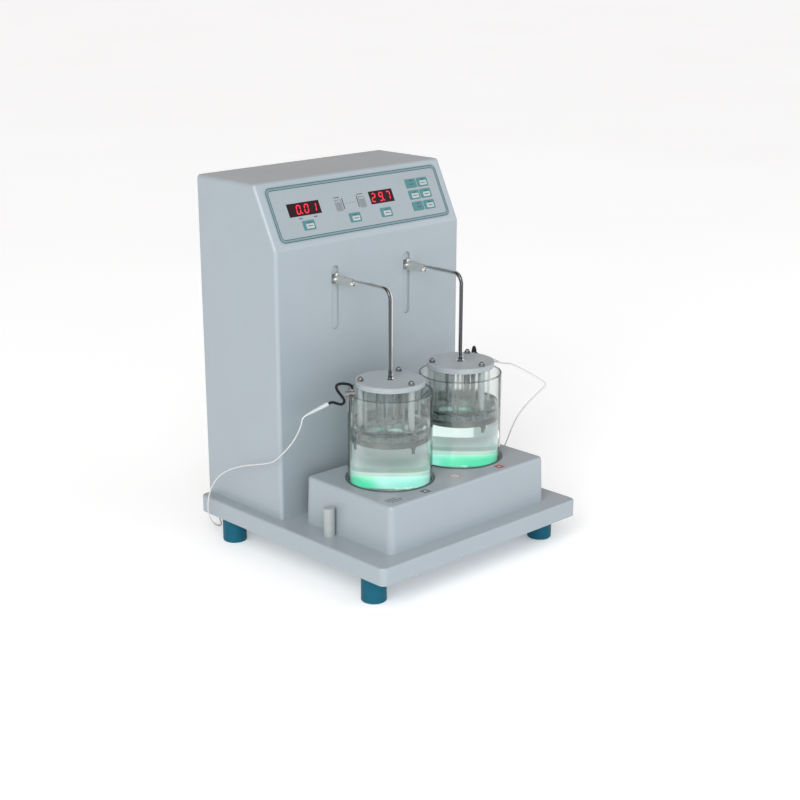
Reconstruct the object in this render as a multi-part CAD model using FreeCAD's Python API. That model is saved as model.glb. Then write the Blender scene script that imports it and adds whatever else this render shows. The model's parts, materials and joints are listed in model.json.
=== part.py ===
import FreeCAD, Part
import math
import os

# A two-station tablet disintegration tester that heats its beakers dry, in millimetres.
# The origin is on the bench under the middle of the tray: X to the right, Y to the back, Z up.
# At rest both arms hang their baskets 5 mm below the top of the stroke.

V = FreeCAD.Vector
X_AXIS = V(1, 0, 0)
Y_AXIS = V(0, 1, 0)
Z_AXIS = V(0, 0, 1)
SIDES = {"left": -1, "right": 1}

# Clearances
SEAT_GAP = 0.3          # between pieces that only lie beside each other
SLIDE_FIT = 0.05        # radial, a shaft or rod that runs in its bore
KEY_GAP = 0.2           # round a key cap in the panel film

# Tray and feet
TRAY_WIDTH = 355.0
TRAY_DEPTH = 362.0
TRAY_HEIGHT = 23.0
TRAY_WALL = 4.0
TRAY_CORNER = 9.0
TRAY_EDGE = 2.5
FOOT_DIAMETER = 32.0
FOOT_HEIGHT = 36.5
FOOT_X = 153.5
FOOT_Y = 138.0
FOOT_CHAMFER = 1.2
FOOT_BOSS_DIAMETER = 26.0
BOLT_DIAMETER = 6.0
BOLT_HEAD_DIAMETER = 10.0
BOLT_HEAD_HEIGHT = 4.0
BOLT_RECESS_DEPTH = 10.0
BOLT_LENGTH = 40.0
BASE_PLATE_THICKNESS = 1.5
BASE_VENT_LENGTH = 60.0
BASE_VENT_WIDTH = 5.0
BASE_VENT_PITCH = 14.0
BASE_VENT_COUNT = 7
WIRE_WAY_LENGTH = 60.0
WIRE_WAY_WIDTH = 16.0

# Tower
TOWER_WIDTH = 321.0
TOWER_FRONT_Y = 29.0
TOWER_TOP_Z = 488.0
TOWER_WALL = 3.0
TOWER_CORNER = 5.0
SLOPE_HEIGHT = 78.0
SLOPE_RUN = 39.5
COVER_INSET = 15.0
COVER_LIP_WIDTH = 9.0
COVER_LIP_THICKNESS = 3.0
COVER_THICKNESS = 1.5
COVER_SCREW_DIAMETER = 4.0
COVER_SCREW_HEAD = 7.5
COVER_SCREW_HEAD_HEIGHT = 2.2
COVER_SCREW_LENGTH = 4.0
COVER_SCREW_ROWS = 4
COVER_SCREW_MARGIN = 16.0
VENT_LENGTH = 56.0
VENT_WIDTH = 4.0
VENT_PITCH = 10.0
VENT_COUNT = 9
VENT_X = 62.0
VENT_TOP_DROP = 40.0

# Stations, slots and stroke
STATION_X = 63.0
STATION_Y = -72.0
SLOT_WIDTH = 12.0
SLOT_ABOVE = 7.0
SLOT_BELOW = 10.0
STROKE_UP = 5.0
STROKE_DOWN = 50.0

# Panel film, windows and keys, placed along and up the slope from its foot
FILM_WIDTH = 297.0
FILM_HEIGHT = 74.0
FILM_CORNER = 8.0
FILM_UP = 43.7
FILM_THICKNESS = 0.5
WINDOW_HEIGHT = 17.2
WINDOW_UP = 47.4
WINDOW_THICKNESS = 1.9
WINDOWS = {"time": (-94.8, 52.6), "temperature": (37.4, 41.4)}
KEY_WIDTH = 19.0
KEY_HEIGHT = 12.0
KEY_CORNER = 1.5
KEY_PROUD = 0.4
KEY_FLANGE = 0.5
KEY_FLANGE_THICKNESS = 1.0
KEY_TRAVEL = 0.4
MODE_KEY_UP = 26.0
MODE_KEYS = {"time": -95.0, "station": -17.3, "temperature": 37.4}
PAD_X = 105.8
PAD_UP = 42.6
PAD_PITCH_X = 21.0
PAD_PITCH_UP = 15.7
PAD_COLUMNS = 2
PAD_ROWS = 3
BOARD_WIDTH = 272.0
BOARD_HEIGHT = 58.0
BOARD_THICKNESS = 1.6
BOARD_STANDOFF = 2.0
BOARD_STANDOFF_DIAMETER = 8.0
SWITCH_SIZE = 6.0

# Deck, light rings and heater wells
DECK_WIDTH = 277.5      # at its top, as are the front and the depth
DECK_FRONT_Y = -153.7
DECK_DEPTH = 157.4
DECK_HEIGHT = 62.0
DECK_DRAFT = 2.5        # how much farther out each side stands at the foot
DECK_WALL = 3.5
DECK_CORNER = 7.0
DECK_EDGE = 4.0
RING_WALL = 2.5
RING_PROUD = 1.0
RING_BEAKER_GAP = 0.7
WELL_FLOOR_Z = 91.5
WELL_FLOOR_THICKNESS = 3.0
WELL_WALL = 3.0
WELL_LIP = 6.0
WELL_LEG_DIAMETER = 8.0
WELL_LEG_RADIUS = 50.0
HEATER_RADIUS = 44.0
HEATER_THICKNESS = 1.5

# Beaker
BEAKER_DIAMETER = 108.0
BEAKER_HEIGHT = 145.3
BEAKER_WALL = 2.2
BEAKER_FLOOR = 3.0
BEAKER_CORNER = 8.0

# Basket
DISC_DIAMETER = 88.0
LID_TOP_Z = 251.0
LID_THICKNESS = 6.5
LID_WEB = 2.0
LID_EDGE = 0.8
TUBE_COUNT = 6
TUBE_LENGTH = 75.0
TUBE_OUTER = 24.3
TUBE_WALL = 1.5
TUBE_CIRCLE = 27.4
TUBE_FIRST_ANGLE = 0.0
PLATE_THICKNESS = 6.5
BAND_HEIGHT = 7.0
BAND_WALL = 2.2
CLOTH_THICKNESS = 0.6
PILLAR_COUNT = 3
PILLAR_FIRST_ANGLE = 30.0
PILLAR_CIRCLE = 38.0
PILLAR_DIAMETER = 8.5
STUD_DIAMETER = 4.0
STUD_TAIL = 7.5
NUT_FLATS = 7.0
NUT_HEIGHT = 3.0
NUT_DOME_RADIUS = 2.9

# Hanger rod, bracket and carriage; the bracket hangs from the slope's foot and the rest from the bracket
BRACKET_DROP = 42.5
ROD_DROP = 2.5
ROD_DIAMETER = 6.0
ROD_BEND_RADIUS = 13.0
ROD_COLLAR_DIAMETER = 7.6
ROD_COLLAR_HEIGHT = 6.0
ROD_FLANGE_DIAMETER = 11.0
ROD_FLANGE_HEIGHT = 1.5
TONGUE_THICKNESS = 2.4
TONGUE_HEIGHT = 5.6
TONGUE_BACK_Y = 10.0
BRACKET_FRONT_Y = -7.0
BRACKET_TAPER_Y = 5.0
BRACKET_FRONT_HEIGHT = 9.0
BRACKET_ROOT_HEIGHT = 11.0
BRACKET_SHEET = 1.5
BRACKET_GAP = 3.0
BRACKET_SCREW_DIAMETER = 2.6
BRACKET_SCREW_HEAD = 4.6
BRACKET_SCREW_HEAD_HEIGHT = 2.6
SET_SCREW_DIAMETER = 1.6
CLAMP_SCREW_Y = -4.0
ROOT_SCREW_Y = 26.3
NOSE_FRONT_Y = 12.0
NOSE_TOP_DROP = 0.5
SHUTTER_WIDTH = 27.0
SHUTTER_THICKNESS = 2.0
SHUTTER_GAP = 0.4
SHUTTER_BELOW = 78.0
SHUTTER_ABOVE = 38.5
CARRIAGE_WIDTH = 68.0
CARRIAGE_DEPTH = 30.0
CARRIAGE_HEIGHT = 44.0
CARRIAGE_BELOW = 25.0
CARRIAGE_LUG = 10.0

# Lift drive, set out forward from the rear cover
MOTOR_COVER_GAP = 7.0
GUIDE_FRAME_GAP = 22.0
GUIDE_SPACING = 50.0
GUIDE_DIAMETER = 10.0
GUIDE_BELOW = 22.0
GUIDE_ABOVE = 20.0
FRAME_SHEET = 3.0
FRAME_WIDTH = 290.0
FRAME_FLANGE_WIDTH = 64.0
FRAME_FLANGE_OVERHANG = 13.0
FRAME_WINDOW_WIDTH = 170.0
FRAME_WINDOW_HEIGHT = 17.0
FRAME_WINDOW_DROP = 6.0
FRAME_LEG_WINDOW_WIDTH = 76.0
FRAME_LEG_WINDOW_BOTTOM_Z = 75.0
FRAME_LEG_WINDOW_TOP_Z = 122.0
FRAME_FOOT_DEPTH = 28.0
TOOTH_MODULE = 1.5
PINION_TEETH = 20
PINION_X = 122.0
PINION_DROP = 30.0
PINION_FACE = 10.0
PINION_SHAFT_DIAMETER = 6.0
PINION_HUB_DIAMETER = 16.0
PINION_HUB_LENGTH = 6.0
TOOTH_BACKLASH = 0.3
TOOTH_ROOT_GAP = 0.6
PRESSURE_ANGLE = 20.0
RACK_BELOW = 15.0
RACK_TEETH = 16
RACK_FACE = 8.0
GEARBOX_DIAMETER = 37.0
GEARBOX_LENGTH = 26.0
GEARBOX_BORE_DEPTH = 8.0
MOTOR_DIAMETER = 32.0
MOTOR_LENGTH = 33.0

# Electronics on the drive frame and the rear connectors
CONTROL_WIDTH = 150.0
CONTROL_HEIGHT = 100.0
CONTROL_X = -35.0
CONTROL_Z = 185.0
CONTROL_STANDOFF = 5.0
CONTROL_PARTS = ((-50.0, 22.0, 30.0, 34.0, 20.0), (10.0, 20.0, 44.0, 30.0, 8.0), (52.0, 25.0, 18.0, 36.0, 14.0),
                 (-42.0, -26.0, 50.0, 22.0, 12.0), (30.0, -28.0, 60.0, 14.0, 10.0))
SUPPLY_WIDTH = 70.0
SUPPLY_HEIGHT = 110.0
SUPPLY_DEPTH = 38.0
SUPPLY_X = 95.0
SUPPLY_Z = 190.0
INLET_X = 88.0
INLET_Z = 104.0
INLET_WIDTH = 27.0
INLET_HEIGHT = 50.0
INLET_FLANGE = 3.0
INLET_FLANGE_THICKNESS = 2.0
INLET_BODY_DEPTH = 27.0
INLET_SOCKET_WIDTH = 22.0
INLET_SOCKET_HEIGHT = 16.0
INLET_SOCKET_DEPTH = 16.0
INLET_SOCKET_DROP = 11.0
INLET_PIN_WIDTH = 2.0
INLET_PIN_HEIGHT = 4.0
INLET_PIN_LENGTH = 13.0
ROCKER_RISE = 14.0
ROCKER_WIDTH = 14.0
ROCKER_RADIUS = 8.0
ROCKER_SWING = 16.0
SOCKET_X = 128.0
SOCKET_Z = 92.0
SOCKET_DIAMETER = 9.0
SOCKET_FLANGE_DIAMETER = 13.0
SOCKET_FLANGE_THICKNESS = 2.0
SOCKET_DEPTH = 14.0

# Parking peg on the tray, close to the deck's left side
PEG_DECK_GAP = 0.75
PEG_Y = -51.5
PEG_DIAMETER = 15.0
PEG_HEIGHT = 37.0

# Probe and its clip, set by angle round the left beaker and mirrored for the right one
PROBE_ANGLE = 25.0
PROBE_DIAMETER = 3.0
PROBE_TIP_Z = 150.0
PROBE_WALL_GAP = 1.1
CLIP_BARREL_DIAMETER = 9.0
CLIP_BARREL_LENGTH = 12.5
CLIP_BARREL_INNER_RADIUS = 46.8
CLIP_BARREL_LIFT = 0.6
CLIP_LEG_LENGTH = 24.0
CLIP_LEG_TOP_WIDTH = 7.0
CLIP_LEG_TIP_WIDTH = 4.0
CLIP_LEG_THICKNESS = 1.1
CLIP_GLASS_GAP = 0.3
CLIP_GLAND_DIAMETER = 5.0
CLIP_GLAND_HEIGHT = 1.0

# Probe cords
LEAD_DIAMETER = 3.4
SLEEVE_START_DIAMETER = 5.4
SLEEVE_END_DIAMETER = 3.4
CABLE_DIAMETER = 1.8
PLUG_DIAMETER = 8.0
PLUG_LENGTH = 16.0
GLAND_RADIUS = 49.5
SLEEVE_LENGTH = {"left": 30.0, "right": 17.0}
LEAD_END_RUN = 4.0
CABLE_END_RUN = 7.0

# Levels and places that follow from the sizes above
TRAY_BOTTOM_Z = FOOT_HEIGHT
TRAY_TOP_Z = TRAY_BOTTOM_Z + TRAY_HEIGHT
TOWER_BACK_Y = TRAY_DEPTH / 2
COVER_Y = TOWER_BACK_Y - COVER_INSET
SLOPE_FOOT_Z = TOWER_TOP_Z - SLOPE_HEIGHT
SLOPE_ANGLE = math.atan2(SLOPE_RUN, SLOPE_HEIGHT)
VENT_TOP_Z = TOWER_TOP_Z - VENT_TOP_DROP
DECK_TOP_Z = TRAY_TOP_Z + DECK_HEIGHT
DECK_Y = DECK_FRONT_Y + DECK_DEPTH / 2
PEG_X = -(DECK_WIDTH / 2 + DECK_DRAFT + PEG_DECK_GAP + PEG_DIAMETER / 2)
RING_INNER = BEAKER_DIAMETER / 2 + RING_BEAKER_GAP
RING_OUTER = RING_INNER + RING_WALL
RING_BOTTOM_Z = WELL_FLOOR_Z + WELL_LIP
RIM_Z = WELL_FLOOR_Z + BEAKER_HEIGHT
GLAND_TOP_Z = RIM_Z + CLIP_BARREL_LIFT + CLIP_BARREL_DIAMETER / 2 + CLIP_GLAND_HEIGHT
GLASS_OUTER = BEAKER_DIAMETER / 2
GLASS_INNER = GLASS_OUTER - BEAKER_WALL
DISC_RADIUS = DISC_DIAMETER / 2
LID_BOTTOM_Z = LID_TOP_Z - LID_THICKNESS
TUBE_BOTTOM_Z = LID_TOP_Z - LID_WEB - TUBE_LENGTH
PLATE_BOTTOM_Z = TUBE_BOTTOM_Z + BAND_HEIGHT
PLATE_TOP_Z = PLATE_BOTTOM_Z + PLATE_THICKNESS
TUBE_SEAT_RADIUS = TUBE_OUTER / 2 + SEAT_GAP
BRACKET_HALF = BRACKET_GAP / 2 + BRACKET_SHEET
BRACKET_TOP_Z = SLOPE_FOOT_Z - BRACKET_DROP
BRACKET_ROOT_Z = BRACKET_TOP_Z - BRACKET_ROOT_HEIGHT
SLOT_TOP_Z = BRACKET_TOP_Z + STROKE_UP + SLOT_ABOVE
SLOT_BOTTOM_Z = BRACKET_ROOT_Z - STROKE_DOWN - SLOT_BELOW
ROD_Z = BRACKET_TOP_Z - ROD_DROP
ROD_END_Y = BRACKET_FRONT_Y - SEAT_GAP
CLAMP_SCREW_Z = ROD_Z - TONGUE_HEIGHT / 2 - SEAT_GAP - BRACKET_SCREW_DIAMETER / 2
SHUTTER_Y = TOWER_FRONT_Y + TOWER_WALL + SHUTTER_GAP
FRAME_BACK_Y = COVER_Y - MOTOR_COVER_GAP - MOTOR_LENGTH - GEARBOX_LENGTH
FRAME_Y = FRAME_BACK_Y - FRAME_SHEET
GUIDE_Y = FRAME_Y - GUIDE_FRAME_GAP
CARRIAGE_FRONT_Y = GUIDE_Y - CARRIAGE_DEPTH / 2
CARRIAGE_BOTTOM_Z = ROD_Z - CARRIAGE_BELOW
CARRIAGE_TOP_Z = CARRIAGE_BOTTOM_Z + CARRIAGE_HEIGHT
BRACKET_BACK_Y = (SHUTTER_Y + SHUTTER_THICKNESS + CARRIAGE_FRONT_Y) / 2
GUIDE_BOTTOM_Z = CARRIAGE_BOTTOM_Z - STROKE_DOWN - GUIDE_BELOW
GUIDE_TOP_Z = CARRIAGE_TOP_Z + STROKE_UP + GUIDE_ABOVE
PINION_Z = ROD_Z - PINION_DROP
RACK_BOTTOM_Z = PINION_Z - RACK_BELOW
TOOTH_PITCH = math.pi * TOOTH_MODULE
PITCH_RADIUS = TOOTH_MODULE * PINION_TEETH / 2


def block(x0, x1, y0, y1, z0, z1):
    """A box between two corners."""
    return Part.makeBox(x1 - x0, y1 - y0, z1 - z0, V(x0, y0, z0))


def centred_block(x, y, z0, width, depth, height):
    """A box standing at z0 with its middle at x, y."""
    return block(x - width / 2, x + width / 2, y - depth / 2, y + depth / 2, z0, z0 + height)


def pin(x, y, z, length, radius, axis=Z_AXIS):
    """A cylinder that starts at a point and runs along an axis."""
    return Part.makeCylinder(radius, length, V(x, y, z), axis)


def pipe(x, y, z, length, outer, inner, axis=Z_AXIS):
    """A straight tube."""
    return pin(x, y, z, length, outer, axis).cut(pin(x, y, z, length, inner, axis))


def edges_along(shape, axis):
    """The straight edges of a shape that run along an axis."""
    found = []
    for edge in shape.Edges:
        if isinstance(edge.Curve, Part.Line) and abs(edge.Curve.Direction.dot(axis)) > 0.999:
            found.append(edge)
    return found


def edges_at(shape, z):
    """The edges of a shape that lie wholly at one height."""
    return [e for e in shape.Edges if abs(e.BoundBox.ZMin - z) < 1e-4 and abs(e.BoundBox.ZMax - z) < 1e-4]


def rounded_block(x, y, z0, width, depth, height, corner):
    """A box with its four upright edges rounded."""
    shape = centred_block(x, y, z0, width, depth, height)
    return shape.makeFillet(corner, edges_along(shape, Z_AXIS))


def drafted_block(x, y, z0, width, depth, height, corner, draft):
    """A rounded box, measured at its top, whose sides lean out by a draft at its foot."""
    sections = []
    for z, spread in ((z0, draft), (z0 + height, 0)):
        flat = rounded_block(x, y, z, width + 2 * spread, depth + 2 * spread, height, corner + spread)
        sections.append([f for f in flat.Faces if f.BoundBox.ZMax < z + 1e-4][0].OuterWire)
    return Part.makeLoft(sections, True, True)


def around(count, radius, first_angle):
    """Points evenly round the Z axis, with their angles in degrees."""
    places = []
    for i in range(count):
        angle = first_angle + 360.0 * i / count
        turn = math.radians(angle)
        places.append((radius * math.cos(turn), radius * math.sin(turn), angle))
    return places


def fused(shapes):
    """One solid from several that touch."""
    return shapes[0].multiFuse(shapes[1:]).removeSplitter()


def stadium(x, y, z0, z1, width, depth):
    """An upright slot cutter with round ends, through Y."""
    radius = width / 2
    shapes = [block(x - radius, x + radius, y, y + depth, z0 + radius, z1 - radius)]
    shapes += [pin(x, y, z, depth, radius, Y_AXIS) for z in (z0 + radius, z1 - radius)]
    return fused(shapes)


def on_slope(shape):
    """Moves a shape from flat coordinates (across, up, out) onto the panel slope."""
    placed = shape.copy()
    placed.rotate(V(0, 0, 0), X_AXIS, 90.0 - math.degrees(SLOPE_ANGLE))
    placed.translate(V(0, TOWER_FRONT_Y, SLOPE_FOOT_Z))
    return placed


def key_places():
    """The name and the place (across, up) of each panel key."""
    places = {"key_" + name: (x, MODE_KEY_UP) for name, x in MODE_KEYS.items()}
    for row in range(PAD_ROWS):
        for column in range(PAD_COLUMNS):
            x = PAD_X + (column - (PAD_COLUMNS - 1) / 2) * PAD_PITCH_X
            up = PAD_UP + ((PAD_ROWS - 1) / 2 - row) * PAD_PITCH_UP
            places["key_pad_%d" % (row * PAD_COLUMNS + column + 1)] = (x, up)
    return places


def make_feet():
    """Four turned feet with a recess for the bolt head."""
    feet = []
    for x in (-FOOT_X, FOOT_X):
        for y in (-FOOT_Y, FOOT_Y):
            foot = pin(x, y, 0, FOOT_HEIGHT, FOOT_DIAMETER / 2)
            foot = foot.makeChamfer(FOOT_CHAMFER, edges_at(foot, 0))
            foot = foot.cut(pin(x, y, 0, BOLT_RECESS_DEPTH, BOLT_HEAD_DIAMETER / 2 + 1))
            feet.append(foot.cut(pin(x, y, 0, FOOT_HEIGHT, BOLT_DIAMETER / 2 + SEAT_GAP)))
    return feet


def make_base_tray():
    """A moulded tray, hollow from below, with a boss over each foot and a way for the wires."""
    tray = rounded_block(0, 0, TRAY_BOTTOM_Z, TRAY_WIDTH, TRAY_DEPTH, TRAY_HEIGHT, TRAY_CORNER)
    tray = tray.makeFillet(TRAY_EDGE, edges_at(tray, TRAY_TOP_Z))
    hollow = rounded_block(0, 0, TRAY_BOTTOM_Z, TRAY_WIDTH - 2 * TRAY_WALL, TRAY_DEPTH - 2 * TRAY_WALL,
                           TRAY_HEIGHT - TRAY_WALL, TRAY_CORNER - TRAY_WALL)
    tray = tray.cut(hollow)
    boss_z = TRAY_BOTTOM_Z + BASE_PLATE_THICKNESS
    bosses = []
    for x in (-FOOT_X, FOOT_X):
        for y in (-FOOT_Y, FOOT_Y):
            bosses.append(pin(x, y, boss_z, TRAY_TOP_Z - TRAY_WALL / 2 - boss_z, FOOT_BOSS_DIAMETER / 2))
    tray = fused([tray] + bosses)
    for x in (-FOOT_X, FOOT_X):
        for y in (-FOOT_Y, FOOT_Y):
            depth = BOLT_RECESS_DEPTH + BOLT_LENGTH + 1 - boss_z
            tray = tray.cut(pin(x, y, boss_z, depth, BOLT_DIAMETER / 2 + SLIDE_FIT))
    for y in (TOWER_FRONT_Y + WIRE_WAY_LENGTH / 2, DECK_Y):
        tray = tray.cut(centred_block(0, y, TRAY_BOTTOM_Z, WIRE_WAY_LENGTH, WIRE_WAY_WIDTH, TRAY_HEIGHT))
    return tray


def make_base_plate():
    """A sheet that closes the tray from below, with two rows of vents."""
    inset = TRAY_WALL + SEAT_GAP
    plate = rounded_block(0, 0, TRAY_BOTTOM_Z, TRAY_WIDTH - 2 * inset, TRAY_DEPTH - 2 * inset,
                          BASE_PLATE_THICKNESS, TRAY_CORNER - TRAY_WALL)
    cutters = []
    for x in (-FOOT_X, FOOT_X):
        for y in (-FOOT_Y, FOOT_Y):
            cutters.append(pin(x, y, TRAY_BOTTOM_Z, BASE_PLATE_THICKNESS, BOLT_DIAMETER / 2 + SEAT_GAP))
    for i in range(BASE_VENT_COUNT):
        y = FOOT_Y / 2 + (i - (BASE_VENT_COUNT - 1) / 2) * BASE_VENT_PITCH
        for x in (-BASE_VENT_LENGTH, BASE_VENT_LENGTH):
            cutters.append(centred_block(x, y, TRAY_BOTTOM_Z, BASE_VENT_LENGTH, BASE_VENT_WIDTH,
                                         BASE_PLATE_THICKNESS))
    return plate.cut(Part.makeCompound(cutters))


def tower_form(inset, corner, back_y, bottom_z):
    """The tower's solid form drawn in by an inset, with its front and top edges rounded."""
    half = math.tan(SLOPE_ANGLE / 2)
    head_shift = (1 - math.sin(SLOPE_ANGLE)) / math.cos(SLOPE_ANGLE)
    front = TOWER_FRONT_Y + inset
    outline = [(front, bottom_z), (front, SLOPE_FOOT_Z - inset * half),
               (TOWER_FRONT_Y + SLOPE_RUN + inset * head_shift, TOWER_TOP_Z - inset),
               (back_y, TOWER_TOP_Z - inset), (back_y, bottom_z)]
    width = TOWER_WIDTH - 2 * inset
    corners = [V(-width / 2, y, z) for y, z in outline]
    solid = Part.Face(Part.makePolygon(corners + corners[:1])).extrude(V(width, 0, 0))
    front_edges = []
    for edge in solid.Edges:
        box = edge.BoundBox
        if box.ZMax > bottom_z + 1 and box.YMin < back_y - 1:
            front_edges.append(edge)
    return solid.makeFillet(corner, front_edges)


def film_outline():
    """The flat rounded outline of the panel film, as a thin solid."""
    return rounded_block(0, FILM_UP, 0, FILM_WIDTH, FILM_HEIGHT, FILM_THICKNESS, FILM_CORNER)


def make_tower_shell():
    """A moulded shell with the sloped panel face, two arm slots and a lip for the rear cover."""
    outer = tower_form(0, TOWER_CORNER, TOWER_BACK_Y, TRAY_TOP_Z)
    cover_space = tower_form(TOWER_WALL, TOWER_CORNER - TOWER_WALL, TOWER_BACK_Y + 1, TRAY_TOP_Z - 1)
    lip = cover_space.common(block(-TOWER_WIDTH, TOWER_WIDTH, COVER_Y - COVER_LIP_THICKNESS, COVER_Y,
                                   TRAY_TOP_Z, TOWER_TOP_Z))
    opening = TOWER_WIDTH / 2 - TOWER_WALL - COVER_LIP_WIDTH
    lip = lip.cut(block(-opening, opening, 0, TOWER_BACK_Y, 0, TOWER_TOP_Z - TOWER_WALL - COVER_LIP_WIDTH))
    for x, z in cover_screw_places():
        lip = lip.cut(pin(x, COVER_Y, z, COVER_LIP_THICKNESS, COVER_SCREW_DIAMETER / 2 + SLIDE_FIT, -Y_AXIS))
    standoffs = []
    for x in (-1, 1):
        for up in (-1, 1):
            margin = BOARD_STANDOFF_DIAMETER / 2
            standoffs.append(on_slope(pin(x * (BOARD_WIDTH / 2 - margin), FILM_UP + up * (BOARD_HEIGHT / 2 - margin),
                                          -TOWER_WALL, BOARD_STANDOFF, BOARD_STANDOFF_DIAMETER / 2, -Z_AXIS)))
    shell = fused([outer.cut(cover_space), lip] + standoffs)
    for side in SIDES.values():
        shell = shell.cut(stadium(side * STATION_X, TOWER_FRONT_Y - 1, SLOT_BOTTOM_Z, SLOT_TOP_Z,
                                  SLOT_WIDTH, TOWER_WALL + 2))
    cutters = []
    for x, width in WINDOWS.values():
        cutters.append(centred_block(x, WINDOW_UP, -TOWER_WALL - 1, width + 2 * SLIDE_FIT,
                                     WINDOW_HEIGHT + 2 * SLIDE_FIT, TOWER_WALL + 2))
    margin = 2 * (KEY_FLANGE + KEY_GAP)
    for x in MODE_KEYS.values():
        cutters.append(centred_block(x, MODE_KEY_UP, -TOWER_WALL - 1, KEY_WIDTH + margin, KEY_HEIGHT + margin,
                                     TOWER_WALL + 2))
    cutters.append(centred_block(PAD_X, PAD_UP, -TOWER_WALL - 1,
                                 (PAD_COLUMNS - 1) * PAD_PITCH_X + KEY_WIDTH + margin,
                                 (PAD_ROWS - 1) * PAD_PITCH_UP + KEY_HEIGHT + margin, TOWER_WALL + 2))
    return shell.cut(on_slope(Part.makeCompound(cutters)))


def make_panel_film():
    """The printed film on the slope, open over the windows and round each key."""
    film = film_outline()
    cutters = []
    for x, width in WINDOWS.values():
        cutters.append(centred_block(x, WINDOW_UP, 0, width + 2 * SLIDE_FIT, WINDOW_HEIGHT + 2 * SLIDE_FIT,
                                     FILM_THICKNESS))
    for x, up in key_places().values():
        cutters.append(rounded_block(x, up, 0, KEY_WIDTH + 2 * KEY_GAP, KEY_HEIGHT + 2 * KEY_GAP,
                                     FILM_THICKNESS, KEY_CORNER + KEY_GAP))
    return on_slope(film.cut(Part.makeCompound(cutters)))


def make_display_windows():
    """The two tinted windows, flush with the film."""
    windows = []
    for x, width in WINDOWS.values():
        windows.append(on_slope(centred_block(x, WINDOW_UP, FILM_THICKNESS - WINDOW_THICKNESS, width,
                                              WINDOW_HEIGHT, WINDOW_THICKNESS)))
    return windows


def make_key(x, up):
    """A key cap with the flange that the film holds it by."""
    cap = rounded_block(x, up, -KEY_FLANGE_THICKNESS, KEY_WIDTH, KEY_HEIGHT,
                        KEY_FLANGE_THICKNESS + FILM_THICKNESS + KEY_PROUD, KEY_CORNER)
    flange = centred_block(x, up, -SLIDE_FIT - KEY_FLANGE_THICKNESS, KEY_WIDTH + 2 * KEY_FLANGE,
                           KEY_HEIGHT + 2 * KEY_FLANGE, KEY_FLANGE_THICKNESS)
    return on_slope(fused([cap, flange]))


def make_panel_board():
    """The board behind the panel, with the display modules and a switch under each key."""
    board_out = -TOWER_WALL - BOARD_STANDOFF
    pieces = [centred_block(0, FILM_UP, board_out - BOARD_THICKNESS, BOARD_WIDTH, BOARD_HEIGHT, BOARD_THICKNESS)]
    module_out = FILM_THICKNESS - WINDOW_THICKNESS - SEAT_GAP
    for x, width in WINDOWS.values():
        pieces.append(centred_block(x, WINDOW_UP, board_out, width - 2, WINDOW_HEIGHT - 1, module_out - board_out))
    switch_out = -SLIDE_FIT - KEY_FLANGE_THICKNESS - KEY_TRAVEL - SLIDE_FIT
    for x, up in key_places().values():
        pieces.append(centred_block(x, up, board_out, SWITCH_SIZE, SWITCH_SIZE, switch_out - board_out))
    return on_slope(fused(pieces))


def cover_screw_places():
    """Where the rear cover's screws go, as X and Z."""
    x = TOWER_WIDTH / 2 - TOWER_WALL - COVER_LIP_WIDTH / 2
    low = TRAY_TOP_Z + COVER_SCREW_MARGIN
    high = TOWER_TOP_Z - TOWER_WALL - COVER_SCREW_MARGIN
    step = (high - low) / (COVER_SCREW_ROWS - 1)
    return [(side * x, low + step * row) for side in (-1, 1) for row in range(COVER_SCREW_ROWS)]


def make_rear_cover():
    """The sheet that closes the tower's back, with vents and the connector holes."""
    space = tower_form(TOWER_WALL + SEAT_GAP, TOWER_CORNER - TOWER_WALL, TOWER_BACK_Y, TRAY_TOP_Z + SEAT_GAP)
    cover = space.common(block(-TOWER_WIDTH, TOWER_WIDTH, COVER_Y, COVER_Y + COVER_THICKNESS, 0, TOWER_TOP_Z))
    cutters = []
    for x, z in cover_screw_places():
        cutters.append(pin(x, COVER_Y, z, COVER_THICKNESS, COVER_SCREW_DIAMETER / 2 + SLIDE_FIT, Y_AXIS))
    for x in (-VENT_X, VENT_X):
        for i in range(VENT_COUNT):
            z = VENT_TOP_Z - i * VENT_PITCH
            cutters.append(block(x - VENT_LENGTH / 2, x + VENT_LENGTH / 2, COVER_Y, COVER_Y + COVER_THICKNESS,
                                 z - VENT_WIDTH / 2, z + VENT_WIDTH / 2))
    cutters.append(block(INLET_X - INLET_WIDTH / 2 - SEAT_GAP, INLET_X + INLET_WIDTH / 2 + SEAT_GAP,
                         COVER_Y, COVER_Y + COVER_THICKNESS,
                         INLET_Z - INLET_HEIGHT / 2 - SEAT_GAP, INLET_Z + INLET_HEIGHT / 2 + SEAT_GAP))
    for side in SIDES.values():
        cutters.append(pin(side * SOCKET_X, COVER_Y, SOCKET_Z, COVER_THICKNESS,
                           SOCKET_DIAMETER / 2 + SLIDE_FIT, Y_AXIS))
    return cover.cut(Part.makeCompound(cutters))


def make_case_screws():
    """The rear cover's screws and the bolts up through the feet."""
    screws = []
    face = COVER_Y + COVER_THICKNESS
    for x, z in cover_screw_places():
        head = pin(x, face, z, COVER_SCREW_HEAD_HEIGHT, COVER_SCREW_HEAD / 2, Y_AXIS)
        rim = [e for e in head.Edges if e.BoundBox.YMin > face + SLIDE_FIT]
        head = head.makeChamfer(COVER_SCREW_HEAD_HEIGHT / 3, rim)
        screws.append(fused([head, pin(x, face, z, COVER_SCREW_LENGTH, COVER_SCREW_DIAMETER / 2, -Y_AXIS)]))
    for x in (-FOOT_X, FOOT_X):
        for y in (-FOOT_Y, FOOT_Y):
            seat = BOLT_RECESS_DEPTH
            head = pin(x, y, seat - BOLT_HEAD_HEIGHT, BOLT_HEAD_HEIGHT, BOLT_HEAD_DIAMETER / 2)
            screws.append(fused([head, pin(x, y, seat, BOLT_LENGTH, BOLT_DIAMETER / 2)]))
    return screws


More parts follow.
